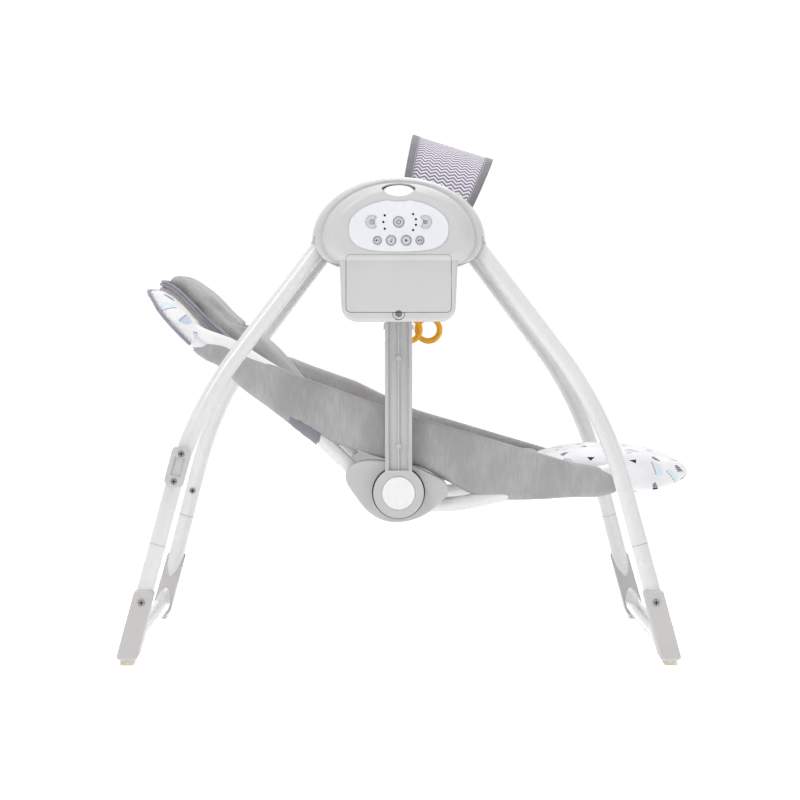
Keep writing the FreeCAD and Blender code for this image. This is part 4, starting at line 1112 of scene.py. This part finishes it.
def make_tube_sleeves_and_shade():
    """Dark cloth wrapped round the back tube where it leaves the wings; its dark colour is partly the shell's
    cloth and partly painted shade of the wings on the tube.
    """
    path = smooth([(-146, 316.7), (-130, 304.4), (-117, 294.4), (-104, 284.4)], 30)
    for side, name in ((-1, "near"), (1, "far")):
        rings = []
        for i, (x, z) in enumerate(path):
            j = min(i + 1, 29)
            d = path[j] - path[j - 1]
            d /= np.linalg.norm(d)
            grow = 10.5 + 0.9 * min(1.0, i / 12) - 0.18 * max(0, i - 25)
            ring = []
            for t in turns(28):
                lean = -5.0 * math.sin(t) * (i / 29) ** 2
                r = grow + 0.25 * math.sin(3 * t + i * 0.7)
                across = np.array([-d[1], d[0]]) * r * math.sin(t) + d * lean
                ring.append((x + across[0], side * (131 + r * math.cos(t)), z + across[1]))
            rings.append(ring)
        # painted shade: the dark underside cloth here also stands for the wings' shadow on the back tube
        obj = closed_loft(f"tube_sleeve_shade_{name}", rings, M["under"])
        cloth_map(obj, lambda p: np.stack([p[:, 0] * 1.2, p[:, 2] + p[:, 1]], axis=1))
        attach(obj, "seat")


# ---------------------------------------------------------------- toy bar cover and toys
TOY_Z, TOY_TILT, TOY_RISE, TOY_SPAN, TOY_BEND = 437, math.radians(17.4), 249, 128, 105


def tilt(x, y, z):
    up = z - TOY_Z
    return (x * math.cos(TOY_TILT) + up * math.sin(TOY_TILT), y, TOY_Z - x * math.sin(TOY_TILT)
            + up * math.cos(TOY_TILT))


def arch(count):
    """(y, z, outward y, outward z) along the band's outer face, before it is tilted."""
    k = 0.5523
    bend, crown = TOY_Z + TOY_BEND, TOY_Z + TOY_RISE
    rise = crown - bend
    points = [(-TOY_SPAN, z) for z in np.linspace(TOY_Z + 13, bend, 14)[:-1]]
    poles = [(-TOY_SPAN, bend), (-TOY_SPAN, bend + k * rise), (-k * TOY_SPAN, crown), (0, crown)]
    for t in np.linspace(0, 1, 30):
        weights = ((1 - t) ** 3, 3 * t * (1 - t) ** 2, 3 * t * t * (1 - t), t**3)
        points.append(tuple(sum(w * p[axis] for w, p in zip(weights, poles)) for axis in (0, 1)))
    points += [(-y, z) for y, z in reversed(points[:-1])]
    p = smooth(points, count)
    d = np.gradient(p, axis=0)
    d /= np.linalg.norm(d, axis=1)[:, None]
    return [(y, z, -b, a) for (y, z), (a, b) in zip(p, d)]


def make_toy_bar_cover():
    """Knitted cover sewn round the band, with a folded binding along each edge."""
    line = arch(150)
    far_along = lengths([(y, z) for y, z, _, _ in line])
    widths = [(TOY_Z - 15, 15), (TOY_Z + 30, 17), (TOY_Z + 100, 31), (TOY_Z + 180, 48), (TOY_Z + 254, 57)]
    at_z = through([z for z, _ in widths], [w for _, w in widths], [z for _, z, _, _ in line])
    bind, skin, tape = 11.0, 0.9, 0.7
    verts, uv, rings = [], [], len(line)
    for (y, z, ny, nz), w, v in zip(line, at_z, far_along):
        w = w + 1.2
        inner = w - bind
        columns = [-w, -w + 0.8, -inner - 0.4, -inner] + list(np.linspace(-inner, inner, 9)[1:-1]) + [
            inner, inner + 0.4, w - 0.8, w]
        profile = []
        for x in columns:
            rise = skin + (tape if abs(x) > inner + 0.2 else 0)
            rise -= 1.0 if abs(abs(x) - w) < 0.01 else 0
            profile.append((x, rise))
        under = [(x, -3.0 - rise) for x, rise in reversed(profile)]
        for x, rise in profile + under:
            verts.append(tilt(x, y + ny * rise, z + nz * rise))
            uv.append((x / 1000, v / 1000))
    count = 2 * len(columns)
    slots = []
    for j in range(count):
        inside = 3 <= (j if j < len(columns) else count - 2 - j) < len(columns) - 4
        slots.append(0 if inside else 1)
    slots = slots * (rings - 1) + [1, 1]
    cover = mesh_object("toy_bar_cover", verts, skin_faces(rings, count), M["chevron"], M["binding"])
    for polygon, slot in zip(cover.data.polygons, slots):
        polygon.material_index = slot
    layer = cover.data.uv_layers.new(name="cloth")
    for loop in cover.data.loops:
        layer.data[loop.index].uv = uv[loop.vertex_index]
    outward(cover)
    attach(cover, "toy_bar")
    for side in (-1, 1):
        path, sides, ups = [], [], []
        for (y, z, ny, nz), w in zip(line, at_z):
            x = side * (w + 2.8 - bind)
            path.append(tilt(x, y + ny * (skin + tape), z + nz * (skin + tape)))
            sides.append(tuple(Vector(tilt(1, 0, TOY_Z)) - Vector(tilt(0, 0, TOY_Z))))
            ups.append(tuple(Vector(tilt(0, ny, TOY_Z + nz)) - Vector(tilt(0, 0, TOY_Z))))
        label = "head" if side < 0 else "foot"
        stitches(f"toy_bar_stitch_{label}", path, sides, ups, (0,), "toy_bar", 0.0, 3.4, 2.2)


HOOK = tilt(-48, 0, TOY_Z + TOY_RISE - 3)


def make_toys():
    """Two plush balls of six gores on ribbon loops, with cloth ears."""
    for side, name in ((-1, "near"), (1, "far")):
        x0, y0, z0 = HOOK[0], side * 36.0, 478.0
        verts, faces = [], []
        rows, columns = 28, 72
        for i in range(rows + 1):
            polar = math.pi * i / rows
            for j in range(columns):
                turn = 2 * math.pi * j / columns
                gore = abs(math.sin(3 * turn))
                seam = math.exp(-((gore / 0.22) ** 2)) * 1.3 * math.sin(polar)
                r = 24.6 - seam - 2.2 * math.exp(-((math.sin(polar) / 0.22) ** 2))
                x, y = x0 + r * math.sin(polar) * math.cos(turn), y0 + r * math.sin(polar) * math.sin(turn)
                verts.append((x, y, z0 + r * math.cos(polar)))
        for i in range(rows):
            for j in range(columns):
                k = (j + 1) % columns
                faces.append((i * columns + j, (i + 1) * columns + j, (i + 1) * columns + k, i * columns + k))
        ball = mesh_object(f"plush_ball_{name}", verts, faces, M["plush"], M["white_plush"])
        outward(ball, merge=0.0002)
        for polygon in ball.data.polygons:
            c = polygon.center
            turn = math.atan2(c.y * 1000 - y0, c.x * 1000 - SHIFT - x0) % (2 * math.pi)
            polygon.material_index = int(turn / (math.pi / 3)) % 2
        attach(ball, "toys")
        zs = np.linspace(z0 + 22, HOOK[2] - 6.5, 34)
        path = [(x0, y0 + 0.35 * math.sin(k * 0.5), z) for k, z in enumerate(zs)]
        band = ribbon(f"toy_ribbon_{name}", path, [(1, 0, 0)] * 34, [(0, 1, 0)] * 34, 10, 1.3, M["ribbon"],
                      "toys")
        for end, label in ((-1, "head"), (1, "foot")):
            loop = []
            for t in np.linspace(-0.35, math.pi + 0.35, 22):
                loop.append((x0 + end * (12 + 5.5 * math.cos(t)), y0, z0 - 22.5 - 8.5 * math.sin(t) + 3))
            sides = [(0, 1, 0)] * 22
            ups = []
            for a, b in zip(loop, loop[1:] + loop[-1:]):
                d = Vector(b) - Vector(a)
                ups.append(tuple(d.normalized().cross(Vector((0, 1, 0)))) if d.length > 1e-6 else ups[-1])
            tab = ribbon(f"toy_tab_{name}_{label}", loop, sides, ups, 7, 1.0, M["ribbon"], "toys")
    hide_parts("hanging_toys")


# ---------------------------------------------------------------- joint lines and screw sockets
LEG_CORNER = (265.0, 243.0, 322.0)
LEG_LOWER_SLOPE = (0.265, 0.124)
LEG_SEAM_Z, LEG_SCREW_Z, FOOT_SCREW_Z = 152, 188, 80
CLIP_SCREWS_Z = (269.5, 234.5)
HUB_Z = 212
DOOR_SEAM_Y, DOOR_SCREW_Z = -226.2, 449


def leg_point(z, end, side):
    """Middle of a leg's lower run at height z; end is -1 at the head, side is -1 when near."""
    drop = LEG_CORNER[2] - z
    return Vector((end * (LEG_CORNER[0] + LEG_LOWER_SLOPE[0] * drop),
                   side * (LEG_CORNER[1] + LEG_LOWER_SLOPE[1] * drop), z))


def ring(name, centre, along, radius, thick, material, body):
    """A thin round line about an axis."""
    axis = Vector(along).normalized()
    a = axis.orthogonal().normalized()
    b = axis.cross(a)
    path = []
    for turn in turns(48):
        path.append(tuple(Vector(centre) + (a * math.cos(turn) + b * math.sin(turn)) * radius))
    cord(name, path, thick, material, body, closed=True, sides=6)


def socket(name, centre, facing, radius, body):
    """Painted shade of a screw head's cross recess, drawn as a black cross, and a bright steel rim round it."""
    face = Vector(facing).normalized()
    a = Vector((1, 0, 0))
    b = face.cross(a)
    verts, faces = [], []
    for long, short in ((radius * 0.6, radius * 0.17), (radius * 0.17, radius * 0.6)):
        corners = []
        for lift in (-0.2, 0.12):
            for u, v in ((-1, -1), (1, -1), (1, 1), (-1, 1)):
                corners.append(Vector(centre) + a * u * long + b * v * short + face * lift)
        add_box(verts, faces, corners)
    # painted shade: black cross standing for the shade inside the screw's cross recess
    cross = mesh_object(name, verts, faces, M["lens"], smooth_faces=False)
    outward(cross)
    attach(cross, body)
    ring(f"{name}_rim", centre, facing, radius * 0.86, 0.3, M["steel"], body)


def make_joint_lines():
    """Seams between leg and floor tubes, screw sockets with painted shade in their recesses, the door's seal and
    the hubs' seals.
    """
    for end, body in ((-1, "rear_legs"), (1, "front_legs")):
        for side, label in ((-1, "near"), (1, "far")):
            seam, above = leg_point(LEG_SEAM_Z, end, side), leg_point(200, end, side)
            ring(f"{body}_seam_{label}", seam, above - seam, 11.0, 0.32, M["line"], body)
            foot, inner = leg_point(FOOT_SCREW_Z, end, side), leg_point(LEG_SCREW_Z, end, side)
            out = Vector((0, side, 0))
            socket(f"{body}_foot_screw_{label}", foot + out * 15.4, out, 4.6, body)
            socket(f"{body}_leg_screw_{label}", inner - out * 12.6, -out, 4.4, body)
    for index, z in enumerate(CLIP_SCREWS_Z):
        place = leg_point(z, -1, -1) - Vector((0, 20.8, 0))
        socket(f"clip_screw_{index + 1}", place, (0, -1, 0), 4.2, "rear_legs")
    for side, label in ((-1, "near"), (1, "far")):
        ring(f"recline_seal_{label}", (0, side * 164.9, HUB_Z), (0, 1, 0), 22.1, 0.35, M["line"],
             "swing_arms")
        ring(f"hub_seal_{label}", (0, side * 149.7, HUB_Z), (0, 1, 0), 34.5, 0.7, M["dark_line"], "seat")
    half, low, top, r = 68.2, 450.8, 525.7, 6.0
    path = []
    for cx, cz, start in ((half - r, top - r, 0), (-half + r, top - r, 90), (-half + r, low + r, 180),
                          (half - r, low + r, 270)):
        for k in range(7):
            turn = math.radians(start + 15 * k)
            path.append((cx + r * math.cos(turn), DOOR_SEAM_Y, cz + r * math.sin(turn)))
    cord("door_seal", path, 0.5, M["dark_line"], "housings", closed=True, sides=6)
    ring("door_screw_ring", (0, DOOR_SEAM_Y + 0.2, DOOR_SCREW_Z), (0, 1, 0), 8.0, 0.5, M["dark_line"], "housings")


# ---------------------------------------------------------------- printed signs on the keys
POWER_ROW_Z, PLAY_ROW_Z = 567.5, 543.7
TIMER_X, VOLUME_X, PLAY_X = 34.4, 27.5, 9.8
INK_IN, INK_OUT = -233.05, -233.2


def flat_strokes(name, body, x, z, strokes, fills=(), width=0.55):
    """Ink on a key: lines of one width and filled shapes, a hair above the key's face."""
    verts, faces = [], []

    def add(outline):
        start = len(verts)
        for y in (INK_IN, INK_OUT):
            verts.extend((x + u, y, z + v) for u, v in outline)
        n = len(outline)
        faces.append(tuple(range(start + n, start + 2 * n)))
        faces.append(tuple(reversed(range(start, start + n))))
        for k in range(n):
            m = (k + 1) % n
            faces.append((start + k, start + m, start + n + m, start + n + k))

    for stroke in strokes:
        for (u0, v0), (u1, v1) in zip(stroke, stroke[1:]):
            d = math.hypot(u1 - u0, v1 - v0)
            nx, nz = -(v1 - v0) / d * width / 2, (u1 - u0) / d * width / 2
            ex, ez = (u1 - u0) / d * width * 0.3, (v1 - v0) / d * width * 0.3
            add([(u0 - nx - ex, v0 - nz - ez), (u1 - nx + ex, v1 - nz + ez), (u1 + nx + ex, v1 + nz + ez),
                 (u0 + nx - ex, v0 + nz - ez)])
    for shape in fills:
        add(shape)
    sign = mesh_object(name, verts, faces, M["icon"], smooth_faces=False)
    outward(sign)
    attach(sign, body)


def arc(radius, start, end, cx=0.0, cz=0.0, count=22):
    angles = [math.radians(start + (end - start) * k / count) for k in range(count + 1)]
    return [(cx + radius * math.cos(a), cz + radius * math.sin(a)) for a in angles]


def make_signs():
    for name, x, z, r in (("power", 0, POWER_ROW_Z, 7.1), ("volume_down", -VOLUME_X, PLAY_ROW_Z, 5.4),
                          ("melody", -PLAY_X, PLAY_ROW_Z, 6.4), ("play", PLAY_X, PLAY_ROW_Z, 6.6),
                          ("volume_up", VOLUME_X, PLAY_ROW_Z, 5.5)):
        flat_strokes(f"{name}_ring", f"{name}_key", x, z, [arc(r - 0.75, 0, 360, count=40)], width=0.5)
    speaker = [(-2.6, -0.8), (-1.6, -0.8), (-0.4, -2.0), (-0.4, 2.0), (-1.6, 0.8), (-2.6, 0.8)]
    sound = [arc(1.5, -50, 50, 0.2), arc(2.7, -50, 50, 0.2)]
    note = [(0.9, -1.4), (0.9, 2.4), (2.0, 1.5)]
    waves = [arc(3.0, 215, 325, 0, rise) for rise in (2.6, 0.8, -1.0 + 5.2)]
    dial = [arc(2.9, 0, 360), [(0, 1.9), (0, 0), (1.5, -0.9)]]
    power = [arc(2.7, 125, 415), [(0, 3.4), (0, 0.6)]]
    flat_strokes("power_sign", "power_key", 0, POWER_ROW_Z, power, width=0.7)
    flat_strokes("timer_sign", "timer_key", -TIMER_X, POWER_ROW_Z, dial)
    flat_strokes("speed_sign", "speed_key", TIMER_X, POWER_ROW_Z, waves)
    flat_strokes("volume_down_sign", "volume_down_key", -VOLUME_X, PLAY_ROW_Z, sound[:1], [speaker], 0.5)
    flat_strokes("volume_up_sign", "volume_up_key", VOLUME_X, PLAY_ROW_Z, sound, [speaker], 0.5)
    flat_strokes("melody_sign", "melody_key", -PLAY_X, PLAY_ROW_Z, [note],
                 [arc(1.05, 0, 360, -0.1, -1.5, 14)[:-1]], 0.5)
    flat_strokes("play_sign", "play_key", PLAY_X, PLAY_ROW_Z, [], [[(-1.5, -2.1), (2.3, 0), (-1.5, 2.1)]])


# ---------------------------------------------------------------- the scene
def room():
    world = bpy.data.worlds.new("studio")
    scene.world = world
    world.use_nodes = True
    tree = world.node_tree
    tree.nodes["Background"].inputs[0].default_value = (1, 1, 1, 1)
    coordinates = tree.nodes.new("ShaderNodeTexCoord")
    parts = tree.nodes.new("ShaderNodeSeparateXYZ")
    wall = tree.nodes.new("ShaderNodeMapRange")
    for name, number in zip(RANGE, (-0.1, 0.75, 0.42, 1.04)):
        wall.inputs[name].default_value = number
    tree.links.new(coordinates.outputs["Generated"], parts.inputs[0])
    tree.links.new(parts.outputs[1], wall.inputs["Value"])
    tree.links.new(wall.outputs[0], tree.nodes["Background"].inputs[1])
    size = 30
    floor_mesh = bpy.data.meshes.new("studio_floor")
    corners = [(-size, -size, 0), (size, -size, 0), (size, size, 0), (-size, size, 0)]
    floor_mesh.from_pydata(corners, [], [(0, 1, 2, 3)])
    floor = bpy.data.objects.new("studio_floor", floor_mesh)
    scene.collection.objects.link(floor)
    pale = Surface("studio_floor", (0.96, 0.96, 0.96), 0.9)
    pale.shader.inputs["Emission Color"].default_value = (1, 1, 1, 1)
    pale.shader.inputs["Emission Strength"].default_value = 0.42
    floor_mesh.materials.append(pale.material)
    lamp("key_light", (-2.4, -3.0, 3.6), (0, 0, 0.3), 2.0, 62)
    lamp("fill_light", (3.2, -2.2, 2.2), (0, 0, 0.3), 2.4, 12)
    lamp("top_light", (0.0, -0.3, 3.8), (0, 0, 0), 2.6, 66)
    lamp("back_light", (0.4, 3.4, 3.2), (0, 0, 0.3), 2.6, 34)


look()
room()
dress_frame()
make_base()
make_base_piping()
make_wings()
make_print_shoulders()
made_liner = make_liner()
make_liner_piping()
make_pillow()
make_harness(made_liner)
make_tube_sleeves_and_shade()
make_toy_bar_cover()
make_toys()
make_joint_lines()
make_signs()
